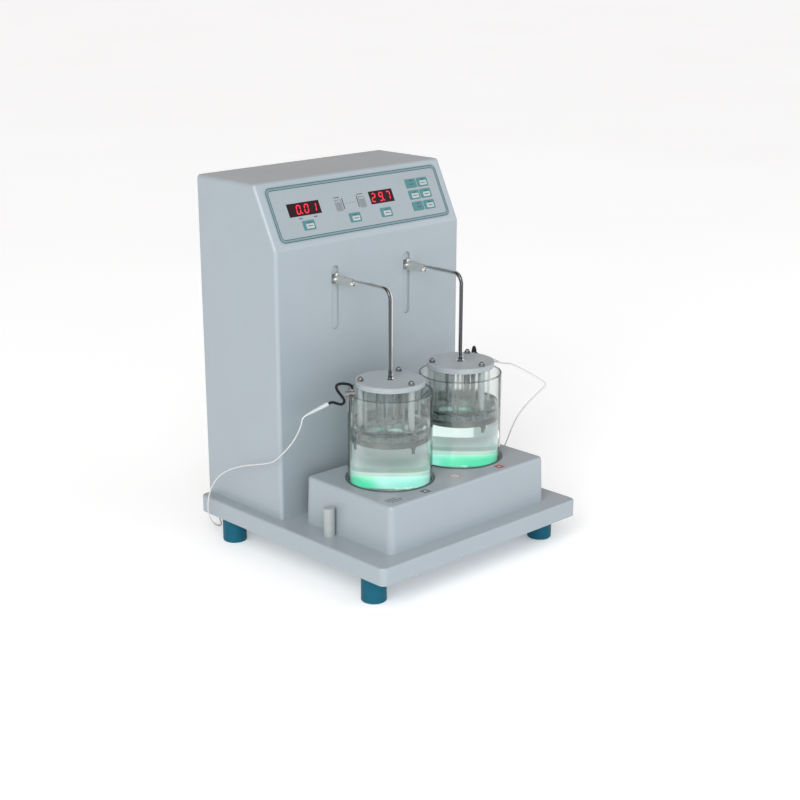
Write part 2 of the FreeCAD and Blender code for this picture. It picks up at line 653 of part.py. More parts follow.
def make_deck_housing():
    """The moulded deck in front of the tower, open from below and over each well."""
    deck = drafted_block(0, DECK_Y, TRAY_TOP_Z, DECK_WIDTH, DECK_DEPTH, DECK_HEIGHT, DECK_CORNER, DECK_DRAFT)
    deck = deck.makeFillet(DECK_EDGE, edges_at(deck, DECK_TOP_Z))
    deck = deck.cut(drafted_block(0, DECK_Y, TRAY_TOP_Z, DECK_WIDTH - 2 * DECK_WALL, DECK_DEPTH - 2 * DECK_WALL,
                                  DECK_HEIGHT - DECK_WALL, DECK_CORNER - DECK_WALL, DECK_DRAFT))
    for side in SIDES.values():
        deck = deck.cut(pin(side * STATION_X, STATION_Y, TRAY_TOP_Z, DECK_HEIGHT, RING_OUTER + SEAT_GAP))
    return deck


def make_light_rings():
    """A pale ring round each beaker's foot, standing on the well's lip."""
    height = DECK_TOP_Z + RING_PROUD - RING_BOTTOM_Z
    return [pipe(side * STATION_X, STATION_Y, RING_BOTTOM_Z, height, RING_OUTER, RING_INNER)
            for side in SIDES.values()]


def make_heater_wells():
    """A metal cup on three legs under each beaker, with a heater mat below its floor."""
    wells = []
    bottom = WELL_FLOOR_Z - WELL_FLOOR_THICKNESS
    for side in SIDES.values():
        x = side * STATION_X
        cup = pin(x, STATION_Y, bottom, RING_BOTTOM_Z - bottom, RING_INNER + WELL_WALL)
        cup = cup.cut(pin(x, STATION_Y, WELL_FLOOR_Z, WELL_LIP, RING_INNER))
        legs = [pin(x + dx, STATION_Y + dy, TRAY_TOP_Z, bottom - TRAY_TOP_Z, WELL_LEG_DIAMETER / 2)
                for dx, dy, angle in around(3, WELL_LEG_RADIUS, 90)]
        wells.append(fused([cup] + legs))
        wells.append(pin(x, STATION_Y, bottom - HEATER_THICKNESS, HEATER_THICKNESS, HEATER_RADIUS))
    return wells


def make_parking_peg():
    """The white peg that stands on the tray beside the deck."""
    peg = pin(PEG_X, PEG_Y, TRAY_TOP_Z, PEG_HEIGHT, PEG_DIAMETER / 2)
    return peg.makeFillet(0.8, edges_at(peg, TRAY_TOP_Z + PEG_HEIGHT))


def make_drive_frame():
    """A folded sheet frame behind the carriages, with flanges for the guide rods and a foot."""
    plate = block(-FRAME_WIDTH / 2, FRAME_WIDTH / 2, FRAME_Y, FRAME_BACK_Y, TRAY_TOP_Z, GUIDE_TOP_Z)
    pieces = [plate, block(-FRAME_WIDTH / 2, FRAME_WIDTH / 2, FRAME_Y, FRAME_Y + FRAME_FOOT_DEPTH,
                           TRAY_TOP_Z, TRAY_TOP_Z + FRAME_SHEET)]
    for side in SIDES.values():
        x = side * STATION_X
        for z in (GUIDE_BOTTOM_Z, GUIDE_TOP_Z - FRAME_SHEET):
            pieces.append(block(x - FRAME_FLANGE_WIDTH / 2, x + FRAME_FLANGE_WIDTH / 2,
                                GUIDE_Y - FRAME_FLANGE_OVERHANG, FRAME_BACK_Y, z, z + FRAME_SHEET))
    frame = fused(pieces)
    window_top = GUIDE_BOTTOM_Z - FRAME_WINDOW_DROP
    cutters = [block(-FRAME_WINDOW_WIDTH / 2, FRAME_WINDOW_WIDTH / 2, FRAME_Y, FRAME_BACK_Y,
                     window_top - FRAME_WINDOW_HEIGHT, window_top)]
    for x in (-FRAME_LEG_WINDOW_WIDTH, FRAME_LEG_WINDOW_WIDTH):
        cutters.append(block(x - FRAME_LEG_WINDOW_WIDTH / 2, x + FRAME_LEG_WINDOW_WIDTH / 2, FRAME_Y, FRAME_BACK_Y,
                             FRAME_LEG_WINDOW_BOTTOM_Z, FRAME_LEG_WINDOW_TOP_Z))
    for side in SIDES.values():
        for offset in (-GUIDE_SPACING / 2, GUIDE_SPACING / 2):
            cutters.append(pin(side * STATION_X + offset, GUIDE_Y, GUIDE_BOTTOM_Z, GUIDE_TOP_Z - GUIDE_BOTTOM_Z,
                               GUIDE_DIAMETER / 2 + SLIDE_FIT))
        cutters.append(pin(side * PINION_X, FRAME_Y, PINION_Z, FRAME_SHEET, PINION_SHAFT_DIAMETER / 2 + 1, Y_AXIS))
    return frame.cut(Part.makeCompound(cutters))


def make_guide_rods():
    """Two upright rods per station."""
    rods = []
    for side in SIDES.values():
        for offset in (-GUIDE_SPACING / 2, GUIDE_SPACING / 2):
            rods.append(pin(side * STATION_X + offset, GUIDE_Y, GUIDE_BOTTOM_Z, GUIDE_TOP_Z - GUIDE_BOTTOM_Z,
                            GUIDE_DIAMETER / 2))
    return rods


def make_drive_motors():
    """A geared motor per station, flat on the back of the frame."""
    motors = []
    for side in SIDES.values():
        x = side * PINION_X
        gearbox = pin(x, FRAME_BACK_Y, PINION_Z, GEARBOX_LENGTH, GEARBOX_DIAMETER / 2, Y_AXIS)
        can = pin(x, FRAME_BACK_Y + GEARBOX_LENGTH, PINION_Z, MOTOR_LENGTH, MOTOR_DIAMETER / 2, Y_AXIS)
        bore = pin(x, FRAME_BACK_Y, PINION_Z, GEARBOX_BORE_DEPTH, PINION_SHAFT_DIAMETER / 2 + SLIDE_FIT, Y_AXIS)
        motors.append(fused([gearbox, can]).cut(bore))
    return motors


def tooth_outline(half_width_at_pitch):
    """Half widths of a tooth at its root, pitch line and tip, as (height from pitch line, half width)."""
    slope = math.tan(math.radians(PRESSURE_ANGLE))
    root = -TOOTH_MODULE - TOOTH_ROOT_GAP
    return [(root, half_width_at_pitch - root * slope), (TOOTH_MODULE, half_width_at_pitch - TOOTH_MODULE * slope)]


def make_pinion(side):
    """A toothed pinion on its shaft, a tooth gap facing the rack when at rest."""
    half = (TOOTH_PITCH / 2 - TOOTH_BACKLASH) / 2
    (root, root_half), (tip, tip_half) = tooth_outline(half)
    y = GUIDE_Y - PINION_FACE / 2
    centre = V(side * PINION_X, y, PINION_Z)
    blank = pin(centre.x, y, centre.z, PINION_FACE, PITCH_RADIUS + root, Y_AXIS)
    teeth = []
    for i in range(PINION_TEETH):
        angle = 360.0 * (i + 0.5) / PINION_TEETH
        inner = PITCH_RADIUS + root - TOOTH_MODULE / 2
        outline = [V(inner, 0, -root_half), V(PITCH_RADIUS, 0, -half), V(PITCH_RADIUS + tip, 0, -tip_half),
                   V(PITCH_RADIUS + tip, 0, tip_half), V(PITCH_RADIUS, 0, half), V(inner, 0, root_half)]
        tooth = Part.Face(Part.makePolygon(outline + outline[:1])).extrude(V(0, PINION_FACE, 0))
        tooth.translate(centre)
        tooth.rotate(centre, Y_AXIS, angle)
        teeth.append(tooth)
    hub = pin(centre.x, y, centre.z, PINION_HUB_LENGTH, PINION_HUB_DIAMETER / 2, -Y_AXIS)
    shaft_end = FRAME_BACK_Y + GEARBOX_BORE_DEPTH - SEAT_GAP
    shaft = pin(centre.x, y, centre.z, shaft_end - y, PINION_SHAFT_DIAMETER / 2, Y_AXIS)
    return fused([blank, hub, shaft] + teeth)


def make_rack(side):
    """The rack on a carriage's outer side, a tooth facing the pinion when at rest."""
    half = (TOOTH_PITCH / 2 - TOOTH_BACKLASH) / 2
    (root, root_half), (tip, tip_half) = tooth_outline(half)
    pitch_x = PINION_X - PITCH_RADIUS
    inner_x = STATION_X + CARRIAGE_WIDTH / 2 - 1
    first = math.ceil((RACK_BOTTOM_Z - PINION_Z) / TOOTH_PITCH)
    low = PINION_Z + (first - 0.5) * TOOTH_PITCH
    outline = [V(inner_x, 0, low), V(pitch_x + root, 0, low)]
    for i in range(RACK_TEETH):
        z = PINION_Z + (first + i) * TOOTH_PITCH
        outline += [V(pitch_x + root, 0, z - root_half), V(pitch_x + tip, 0, z - tip_half),
                    V(pitch_x + tip, 0, z + tip_half), V(pitch_x + root, 0, z + root_half)]
    high = low + RACK_TEETH * TOOTH_PITCH
    outline += [V(pitch_x + root, 0, high), V(inner_x, 0, high)]
    rack = Part.Face(Part.makePolygon(outline + outline[:1])).extrude(V(0, RACK_FACE, 0))
    rack.translate(V(0, GUIDE_Y - RACK_FACE / 2, 0))
    return rack if side > 0 else rack.mirror(V(0, 0, 0), X_AXIS)


def make_carriage(side):
    """The block that runs on the guide rods, with the rack, the nose and the shutter lugs."""
    x = side * STATION_X
    body = centred_block(x, GUIDE_Y, CARRIAGE_BOTTOM_Z, CARRIAGE_WIDTH, CARRIAGE_DEPTH, CARRIAGE_HEIGHT)
    nose = block(x - BRACKET_GAP / 2, x + BRACKET_GAP / 2, NOSE_FRONT_Y, CARRIAGE_FRONT_Y,
                 BRACKET_ROOT_Z + BRACKET_SHEET, BRACKET_TOP_Z - NOSE_TOP_DROP)
    lug_y = SHUTTER_Y + SHUTTER_THICKNESS
    lugs = [block(x - CARRIAGE_LUG, x + CARRIAGE_LUG, lug_y, CARRIAGE_FRONT_Y, z, z + CARRIAGE_LUG)
            for z in (CARRIAGE_BOTTOM_Z, CARRIAGE_TOP_Z - CARRIAGE_LUG)]
    carriage = fused([body, nose, make_rack(side)] + lugs)
    for offset in (-GUIDE_SPACING / 2, GUIDE_SPACING / 2):
        carriage = carriage.cut(pin(x + offset, GUIDE_Y, CARRIAGE_BOTTOM_Z, CARRIAGE_HEIGHT,
                                    GUIDE_DIAMETER / 2 + SLIDE_FIT))
    for cutter in bracket_screw_holes(x):
        carriage = carriage.cut(cutter)
    return carriage


def make_shutter(side):
    """The pale strip that rides behind the slot, with a hole for the bracket."""
    x = side * STATION_X
    strip = block(x - SHUTTER_WIDTH / 2, x + SHUTTER_WIDTH / 2, SHUTTER_Y, SHUTTER_Y + SHUTTER_THICKNESS,
                  ROD_Z - SHUTTER_BELOW, ROD_Z + SHUTTER_ABOVE)
    hole = block(x - BRACKET_HALF - SEAT_GAP, x + BRACKET_HALF + SEAT_GAP, SHUTTER_Y, SHUTTER_Y + SHUTTER_THICKNESS,
                 BRACKET_ROOT_Z - SEAT_GAP, BRACKET_TOP_Z + SEAT_GAP)
    return strip.cut(hole)


def bracket_screw_places(x):
    """Start, axis, shank length and shank diameter of each bracket screw, heads outward."""
    through = 2 * BRACKET_HALF
    root_z = BRACKET_TOP_Z - BRACKET_ROOT_HEIGHT / 2
    return [(V(x - BRACKET_HALF, CLAMP_SCREW_Y, CLAMP_SCREW_Z), X_AXIS, through, BRACKET_SCREW_DIAMETER),
            (V(x - BRACKET_HALF, ROOT_SCREW_Y, root_z), X_AXIS, through, BRACKET_SCREW_DIAMETER),
            (V(x, ROOT_SCREW_Y, BRACKET_TOP_Z), -Z_AXIS, BRACKET_SCREW_HEAD / 2, SET_SCREW_DIAMETER)]


def bracket_screw_holes(x):
    """Clearance cutters for the bracket screws."""
    return [pin(p.x, p.y, p.z, length + SLIDE_FIT, diameter / 2 + SLIDE_FIT, axis)
            for p, axis, length, diameter in bracket_screw_places(x)]


def make_arm_bracket(side):
    """A channel folded from sheet, deeper at its root, and its three dark screws."""
    x = side * STATION_X
    front_z = BRACKET_TOP_Z - BRACKET_FRONT_HEIGHT
    outline = [V(0, BRACKET_FRONT_Y, BRACKET_TOP_Z), V(0, BRACKET_BACK_Y, BRACKET_TOP_Z),
               V(0, BRACKET_BACK_Y, BRACKET_ROOT_Z), V(0, BRACKET_TAPER_Y, BRACKET_ROOT_Z),
               V(0, BRACKET_FRONT_Y, front_z)]
    cheeks = Part.Face(Part.makePolygon(outline + outline[:1])).extrude(V(2 * BRACKET_HALF, 0, 0))
    cheeks.translate(V(x - BRACKET_HALF, 0, 0))
    front = [e for e in edges_along(cheeks, X_AXIS) if e.BoundBox.YMax < BRACKET_FRONT_Y + 1]
    cheeks = cheeks.makeFillet(BRACKET_FRONT_HEIGHT / 3, front)
    gap = block(x - BRACKET_GAP / 2, x + BRACKET_GAP / 2, BRACKET_FRONT_Y, BRACKET_BACK_Y,
                BRACKET_ROOT_Z + BRACKET_SHEET, BRACKET_TOP_Z)
    bracket = cheeks.cut(gap)
    for cutter in bracket_screw_holes(x):
        bracket = bracket.cut(cutter)
    screws = []
    for p, axis, length, diameter in bracket_screw_places(x):
        head = pin(p.x, p.y, p.z, BRACKET_SCREW_HEAD_HEIGHT, BRACKET_SCREW_HEAD / 2, -axis)
        screws.append(fused([head, pin(p.x, p.y, p.z, length, diameter / 2, axis)]))
    return [bracket] + screws


def make_hanger_rod(side):
    """The bent rod with its flat tongue, and the collar and flange on the lid."""
    x = side * STATION_X
    radius = ROD_DIAMETER / 2
    bend_y = STATION_Y + ROD_BEND_RADIUS
    bend_z = ROD_Z - ROD_BEND_RADIUS
    upright = pin(x, STATION_Y, LID_TOP_Z, bend_z - LID_TOP_Z, radius)
    level = pin(x, bend_y, ROD_Z, ROD_END_Y - bend_y, radius, Y_AXIS)
    section = Part.Face(Part.Wire(Part.makeCircle(radius, V(x, STATION_Y, bend_z), Z_AXIS)))
    bend = section.revolve(V(x, bend_y, bend_z), X_AXIS, -90)
    tongue = block(x - TONGUE_THICKNESS / 2, x + TONGUE_THICKNESS / 2, ROD_END_Y - radius, TONGUE_BACK_Y,
                   ROD_Z - TONGUE_HEIGHT / 2, ROD_Z + TONGUE_HEIGHT / 2)
    collar = pin(x, STATION_Y, LID_TOP_Z, ROD_COLLAR_HEIGHT, ROD_COLLAR_DIAMETER / 2)
    flange = pin(x, STATION_Y, LID_TOP_Z, ROD_FLANGE_HEIGHT, ROD_FLANGE_DIAMETER / 2)
    return fused([upright, bend, level, tongue, collar, flange])


def tube_places():
    """The six tube centres round a basket's axis."""
    return [(dx, dy) for dx, dy, angle in around(TUBE_COUNT, TUBE_CIRCLE, TUBE_FIRST_ANGLE)]


def pillar_places():
    """The three pillar centres round a basket's axis."""
    return [(dx, dy) for dx, dy, angle in around(PILLAR_COUNT, PILLAR_CIRCLE, PILLAR_FIRST_ANGLE)]


def stud_holes(x, z, height):
    """Holes for the three studs."""
    return [pin(x + dx, STATION_Y + dy, z, height, STUD_DIAMETER / 2 + SLIDE_FIT) for dx, dy in pillar_places()]


def make_lid(side):
    """The milky lid disc, with a blind seat under it for each tube."""
    x = side * STATION_X
    lid = pin(x, STATION_Y, LID_BOTTOM_Z, LID_THICKNESS, DISC_RADIUS)
    lid = lid.makeChamfer(LID_EDGE, edges_at(lid, LID_TOP_Z))
    cutters = [pin(x + dx, STATION_Y + dy, LID_BOTTOM_Z, LID_THICKNESS - LID_WEB, TUBE_SEAT_RADIUS)
               for dx, dy in tube_places()]
    return lid.cut(Part.makeCompound(cutters + stud_holes(x, LID_BOTTOM_Z, LID_THICKNESS)))


def make_tubes(side):
    """Six open tubes, standing on the wire cloth."""
    x = side * STATION_X
    outer = TUBE_OUTER / 2
    return [pipe(x + dx, STATION_Y + dy, TUBE_BOTTOM_Z, TUBE_LENGTH, outer, outer - TUBE_WALL)
            for dx, dy in tube_places()]


def make_plate(side):
    """The clear lower plate that the tubes pass through."""
    x = side * STATION_X
    plate = pin(x, STATION_Y, PLATE_BOTTOM_Z, PLATE_THICKNESS, DISC_RADIUS)
    cutters = [pin(x + dx, STATION_Y + dy, PLATE_BOTTOM_Z, PLATE_THICKNESS, TUBE_SEAT_RADIUS)
               for dx, dy in tube_places()]
    return plate.cut(Part.makeCompound(cutters + stud_holes(x, PLATE_BOTTOM_Z, PLATE_THICKNESS)))


def make_screen(side):
    """The steel band under the plate with the wire cloth across its foot."""
    x = side * STATION_X
    bottom = TUBE_BOTTOM_Z - CLOTH_THICKNESS
    band = pin(x, STATION_Y, bottom, BAND_HEIGHT + CLOTH_THICKNESS, DISC_RADIUS)
    band = band.cut(pin(x, STATION_Y, TUBE_BOTTOM_Z, BAND_HEIGHT, DISC_RADIUS - BAND_WALL))
    return band.cut(Part.makeCompound(stud_holes(x, bottom, CLOTH_THICKNESS)))


def make_pillars(side):
    """Three white spacer tubes between the lid and the plate."""
    x = side * STATION_X
    return [pipe(x + dx, STATION_Y + dy, PLATE_TOP_Z, LID_BOTTOM_Z - PLATE_TOP_Z, PILLAR_DIAMETER / 2,
                 STUD_DIAMETER / 2 + SLIDE_FIT) for dx, dy in pillar_places()]


def hex_nut(x, y, z, height):
    """A hexagonal prism standing at z."""
    corner = NUT_FLATS / math.sqrt(3)
    points = [V(x + px, y + py, z) for px, py, angle in around(6, corner, 0)]
    return Part.Face(Part.makePolygon(points + points[:1])).extrude(V(0, 0, height))


def make_studs(side):
    """Three studs with a domed nut on the lid and a plain nut under the wire cloth."""
    x = side * STATION_X
    cloth_z = TUBE_BOTTOM_Z - CLOTH_THICKNESS
    bottom = cloth_z - NUT_HEIGHT - STUD_TAIL
    studs = []
    for dx, dy in pillar_places():
        cx, cy = x + dx, STATION_Y + dy
        dome = Part.makeSphere(NUT_DOME_RADIUS, V(cx, cy, LID_TOP_Z + NUT_HEIGHT), Z_AXIS, 0, 90, 360)
        studs.append(fused([pin(cx, cy, bottom, LID_TOP_Z - bottom, STUD_DIAMETER / 2),
                            hex_nut(cx, cy, LID_TOP_Z, NUT_HEIGHT), dome,
                            hex_nut(cx, cy, cloth_z - NUT_HEIGHT, NUT_HEIGHT)]))
    return studs


def make_beaker(side):
    """A plain cylindrical beaker with a rounded foot and a rounded rim."""
    inner_corner = BEAKER_CORNER - BEAKER_WALL
    floor = WELL_FLOOR_Z + BEAKER_FLOOR
    outer = pin(0, 0, WELL_FLOOR_Z, BEAKER_HEIGHT, GLASS_OUTER)
    outer = outer.makeFillet(BEAKER_CORNER, edges_at(outer, WELL_FLOOR_Z))
    inner = pin(0, 0, floor, RIM_Z - floor, GLASS_INNER)
    inner = inner.makeFillet(inner_corner, edges_at(inner, floor))
    beaker = outer.cut(inner)
    beaker = beaker.makeFillet(BEAKER_WALL * 0.4, edges_at(beaker, RIM_Z))
    beaker.translate(V(side * STATION_X, STATION_Y, 0))
    return beaker


def radial(side, radius, z):
    """A point in the upright plane through a beaker's axis and its clip."""
    turn = math.radians(PROBE_ANGLE)
    return V(side * (STATION_X + radius * math.cos(turn)), STATION_Y + radius * math.sin(turn), z)


def clip_leg(radius):
    """A tapered leg in the radial frame, its inner face at a radius."""
    top = RIM_Z + CLIP_BARREL_LIFT
    tip = RIM_Z - CLIP_LEG_LENGTH
    outline = [V(radius, -CLIP_LEG_TOP_WIDTH / 2, top), V(radius, CLIP_LEG_TOP_WIDTH / 2, top),
               V(radius, CLIP_LEG_TIP_WIDTH / 2, tip), V(radius, -CLIP_LEG_TIP_WIDTH / 2, tip)]
    leg = Part.Face(Part.makePolygon(outline + outline[:1])).extrude(V(CLIP_LEG_THICKNESS, 0, 0))
    tips = [e for e in edges_along(leg, X_AXIS) if e.BoundBox.ZMax < tip + 1]
    return leg.makeFillet(CLIP_LEG_TIP_WIDTH * 0.35, tips)


def make_probe(side):
    """A spring clip over the beaker's rim that holds the probe tube inside the glass."""
    barrel_z = RIM_Z + CLIP_BARREL_LIFT
    barrel = pin(CLIP_BARREL_INNER_RADIUS, 0, barrel_z, CLIP_BARREL_LENGTH, CLIP_BARREL_DIAMETER / 2, X_AXIS)
    inner_leg = clip_leg(GLASS_INNER - CLIP_GLASS_GAP - CLIP_LEG_THICKNESS)
    outer_leg = clip_leg(GLASS_OUTER + CLIP_GLASS_GAP)
    probe_radius = GLASS_INNER - PROBE_WALL_GAP - PROBE_DIAMETER / 2
    tube = pin(probe_radius, 0, PROBE_TIP_Z, barrel_z - PROBE_TIP_Z, PROBE_DIAMETER / 2)
    tip = Part.makeSphere(PROBE_DIAMETER / 2, V(probe_radius, 0, PROBE_TIP_Z))
    gland = pin(GLAND_RADIUS, 0, barrel_z, GLAND_TOP_Z - barrel_z, CLIP_GLAND_DIAMETER / 2)
    slot = block(GLASS_INNER - CLIP_GLASS_GAP, GLASS_OUTER + CLIP_GLASS_GAP, -CLIP_BARREL_DIAMETER,
                 CLIP_BARREL_DIAMETER, 0, RIM_Z + CLIP_GLASS_GAP)
    clip = fused([barrel, inner_leg, outer_leg, tube, tip, gland]).cut(slot)
    clip.rotate(V(0, 0, 0), Z_AXIS, PROBE_ANGLE)
    clip.translate(V(STATION_X, STATION_Y, 0))
    return clip if side > 0 else clip.mirror(V(0, 0, 0), X_AXIS)


def cord_path(points, name):
    """Straight runs through the points, each corner taken by the largest tangent arc its runs allow."""
    arcs = []
    for before, corner, after in zip(points, points[1:], points[2:]):
        run_in = corner - before
        run_out = after - corner
        turn = run_in.getAngle(run_out)
        radius = 0.45 * min(run_in.Length, run_out.Length) / math.tan(turn / 2)
        reach = 0.45 * min(run_in.Length, run_out.Length)
        into = V(run_in).normalize()
        out = V(run_out).normalize()
        start = corner - into * reach
        end = corner + out * reach
        toward = (out - into).normalize()
        centre = corner + toward * math.hypot(radius, reach)
        arcs.append((start, centre - toward * radius, end, radius))
    edges = []
    place = points[0]
    for start, middle, end, radius in arcs:
        edges.append(Part.LineSegment(place, start).toShape())
        edges.append(Part.Arc(start, middle, end).toShape())
        place = end
    edges.append(Part.LineSegment(place, points[-1]).toShape())
    print("%s: %.0f mm, bend radii %s" % (name, sum(e.Length for e in edges),
                                          " ".join("%.1f" % radius for start, middle, end, radius in arcs)))
    return Part.Wire(edges)


def cord_tube(points, diameter, name):
    """A round cord along its path."""
    path = cord_path(points, name)
    circle = Part.Wire(Part.makeCircle(diameter / 2, points[0], (points[1] - points[0]).normalize()))
    tube = path.makePipeShell([circle], True, False)
    expected = math.pi * diameter ** 2 / 4 * path.Length
    print("%s: volume %.1f of %.1f mm3" % (name, tube.Volume, expected))
    return tube


def sleeve_ends(name):
    """Start and end of the clear sleeve, and the direction it lies in."""
    start = {"left": V(-135.9, -38.0, 226.9), "right": V(124.6, -60.4, 241.0)}[name]
    run = {"left": V(-20.7, 16.2, -13.5), "right": V(7.4, -14.2, -4.2)}[name].normalize()
    return start, start + run * SLEEVE_LENGTH[name], run


def lead_points(name):
    """The black lead's loop: up out of the clip's gland, over, and down outside the glass."""
    start, end, run = sleeve_ends(name)
    loops = {
        "left": [(49.5, 247.2), (54.6, 249.6), (64.6, 251.6), (70.4, 249.4), (69.8, 243.6), (62.4, 233.8),
                 (59.2, 228.4), (62.4, 223.8), (68.2, 225.2), (73.2, 227.8)],
        "right": [(49.5, 247.5), (50.6, 253.4), (56.0, 256.4), (60.2, 251.2), (61.4, 245.0)],
    }
    side = SIDES[name]
    loop = [radial(side, radius, z) for radius, z in [(GLAND_RADIUS, GLAND_TOP_Z)] + loops[name]]
    return loop + [start - run * LEAD_END_RUN, start]


def cable_points(name):
    """The thin cable from the sleeve's end to the plug behind the tower."""
    start, end, run = sleeve_ends(name)
    plug = V(SIDES[name] * SOCKET_X, COVER_Y + COVER_THICKNESS + SOCKET_FLANGE_THICKNESS + PLUG_LENGTH, SOCKET_Z)
    hanging = {
        "left": [V(-160.0, -14.3, 199.4), V(-161.0, -4.0, 180.2), V(-163.5, 6.0, 166.4), V(-167.5, 16.1, 154.6),
                 V(-170.0, 31.6, 140.2), V(-171.0, 57.8, 131.4), V(-173.8, 86.0, 123.4), V(-177.0, 108.0, 114.8),
                 V(-180.0, 126.6, 104.0), V(-183.4, 138.0, 91.6), V(-186.2, 146.0, 77.0), V(-187.4, 150.4, 60.0),
                 V(-186.4, 152.6, 44.0), V(-181.4, 153.8, 30.4), V(-172.6, 156.0, 20.4), V(-160.6, 160.6, 14.4),
                 V(-150.0, 172.0, 12.8), V(-143.4, 187.0, 17.4), V(-139.6, 199.0, 31.0), V(-134.8, 206.6, 50.0),
                 V(-130.6, 209.0, 70.0), V(-128.0, 203.0, 86.0)],
        "right": [V(139.6, -92.0, 236.6), V(148.4, -116.0, 227.4), V(155.8, -132.0, 218.6), V(158.8, -138.6, 213.4),
                  V(155.8, -133.0, 206.8), V(151.4, -120.6, 192.4), V(147.4, -103.0, 170.4), V(144.4, -92.4, 148.2),
                  V(144.0, -82.6, 122.0), V(146.6, -68.0, 98.0), V(152.0, -48.0, 78.0), V(158.0, -22.0, 67.0),
                  V(165.0, 14.0, 63.4), V(170.6, 54.0, 62.6), V(172.0, 96.0, 63.6), V(170.6, 136.0, 62.4),
                  V(167.6, 168.0, 65.0), V(160.0, 190.0, 74.0), V(146.0, 200.0, 86.0), V(134.0, 200.5, 91.6)],
    }
    return [end, end + run * CABLE_END_RUN] + hanging[name] + [plug + V(0, CABLE_END_RUN, 0), plug]


def make_lead(name):
    """The black lead and the clear tapered sleeve at its end, butted together."""
    start, end, run = sleeve_ends(name)
    sleeve = Part.makeCone(SLEEVE_START_DIAMETER / 2, SLEEVE_END_DIAMETER / 2, SLEEVE_LENGTH[name], start, run)
    return [cord_tube(lead_points(name), LEAD_DIAMETER, "probe_lead_" + name), sleeve]


def make_cable(name):
    """The thin pale cable and its plug."""
    socket_face = COVER_Y + COVER_THICKNESS + SOCKET_FLANGE_THICKNESS
    plug = pin(SIDES[name] * SOCKET_X, socket_face, SOCKET_Z, PLUG_LENGTH, PLUG_DIAMETER / 2, Y_AXIS)
    return [cord_tube(cable_points(name), CABLE_DIAMETER, "probe_cable_" + name), plug]


def make_probe_sockets():
    """Two round sockets in the rear cover."""
    face = COVER_Y + COVER_THICKNESS
    sockets = []
    for side in SIDES.values():
        flange = pin(side * SOCKET_X, face, SOCKET_Z, SOCKET_FLANGE_THICKNESS, SOCKET_FLANGE_DIAMETER / 2, Y_AXIS)
        body = pin(side * SOCKET_X, face, SOCKET_Z, SOCKET_DEPTH, SOCKET_DIAMETER / 2, -Y_AXIS)
        sockets.append(fused([flange, body]))
    return sockets


def make_control_board():
    """The main board on four standoffs behind the frame, with its tallest components."""
    y = FRAME_BACK_Y + CONTROL_STANDOFF
    pieces = [block(CONTROL_X - CONTROL_WIDTH / 2, CONTROL_X + CONTROL_WIDTH / 2, y, y + BOARD_THICKNESS,
                    CONTROL_Z - CONTROL_HEIGHT / 2, CONTROL_Z + CONTROL_HEIGHT / 2)]
    for dx in (-1, 1):
        for dz in (-1, 1):
            pieces.append(pin(CONTROL_X + dx * (CONTROL_WIDTH / 2 - 6), FRAME_BACK_Y,
                              CONTROL_Z + dz * (CONTROL_HEIGHT / 2 - 6), CONTROL_STANDOFF, 3, Y_AXIS))
    for dx, dz, width, height, depth in CONTROL_PARTS:
        pieces.append(block(CONTROL_X + dx - width / 2, CONTROL_X + dx + width / 2, y, y + BOARD_THICKNESS + depth,
                            CONTROL_Z + dz - height / 2, CONTROL_Z + dz + height / 2))
    return fused(pieces)


def make_power_supply():
    """The power supply in its metal case, flat on the back of the frame."""
    return block(SUPPLY_X - SUPPLY_WIDTH / 2, SUPPLY_X + SUPPLY_WIDTH / 2, FRAME_BACK_Y, FRAME_BACK_Y + SUPPLY_DEPTH,
                 SUPPLY_Z - SUPPLY_HEIGHT / 2, SUPPLY_Z + SUPPLY_HEIGHT / 2)


def make_power_inlet():
    """The mains inlet with its three pins, and a pocket for the rocker above them."""
    face = COVER_Y + COVER_THICKNESS
    outer = face + INLET_FLANGE_THICKNESS
    flange = block(INLET_X - INLET_WIDTH / 2 - INLET_FLANGE, INLET_X + INLET_WIDTH / 2 + INLET_FLANGE, face, outer,
                   INLET_Z - INLET_HEIGHT / 2 - INLET_FLANGE, INLET_Z + INLET_HEIGHT / 2 + INLET_FLANGE)
    body = block(INLET_X - INLET_WIDTH / 2, INLET_X + INLET_WIDTH / 2, face - INLET_BODY_DEPTH, face,
                 INLET_Z - INLET_HEIGHT / 2, INLET_Z + INLET_HEIGHT / 2)
    inlet = fused([flange, body])
    socket_z = INLET_Z - INLET_SOCKET_DROP
    socket = block(INLET_X - INLET_SOCKET_WIDTH / 2, INLET_X + INLET_SOCKET_WIDTH / 2, outer - INLET_SOCKET_DEPTH,
                   outer, socket_z - INLET_SOCKET_HEIGHT / 2, socket_z + INLET_SOCKET_HEIGHT / 2)
    pocket = pin(INLET_X - ROCKER_WIDTH / 2 - SEAT_GAP, outer, INLET_Z + ROCKER_RISE,
                 ROCKER_WIDTH + 2 * SEAT_GAP, ROCKER_RADIUS + SEAT_GAP, X_AXIS)
    inlet = inlet.cut(socket).cut(pocket)
    pins = []
    for dx, dz in ((-7, -1), (0, 3), (7, -1)):
        pins.append(block(INLET_X + dx - INLET_PIN_WIDTH / 2, INLET_X + dx + INLET_PIN_WIDTH / 2,
                          outer - INLET_SOCKET_DEPTH - 1, outer - INLET_SOCKET_DEPTH + INLET_PIN_LENGTH,
                          socket_z + dz - INLET_PIN_HEIGHT / 2, socket_z + dz + INLET_PIN_HEIGHT / 2))
    return fused([inlet] + pins)


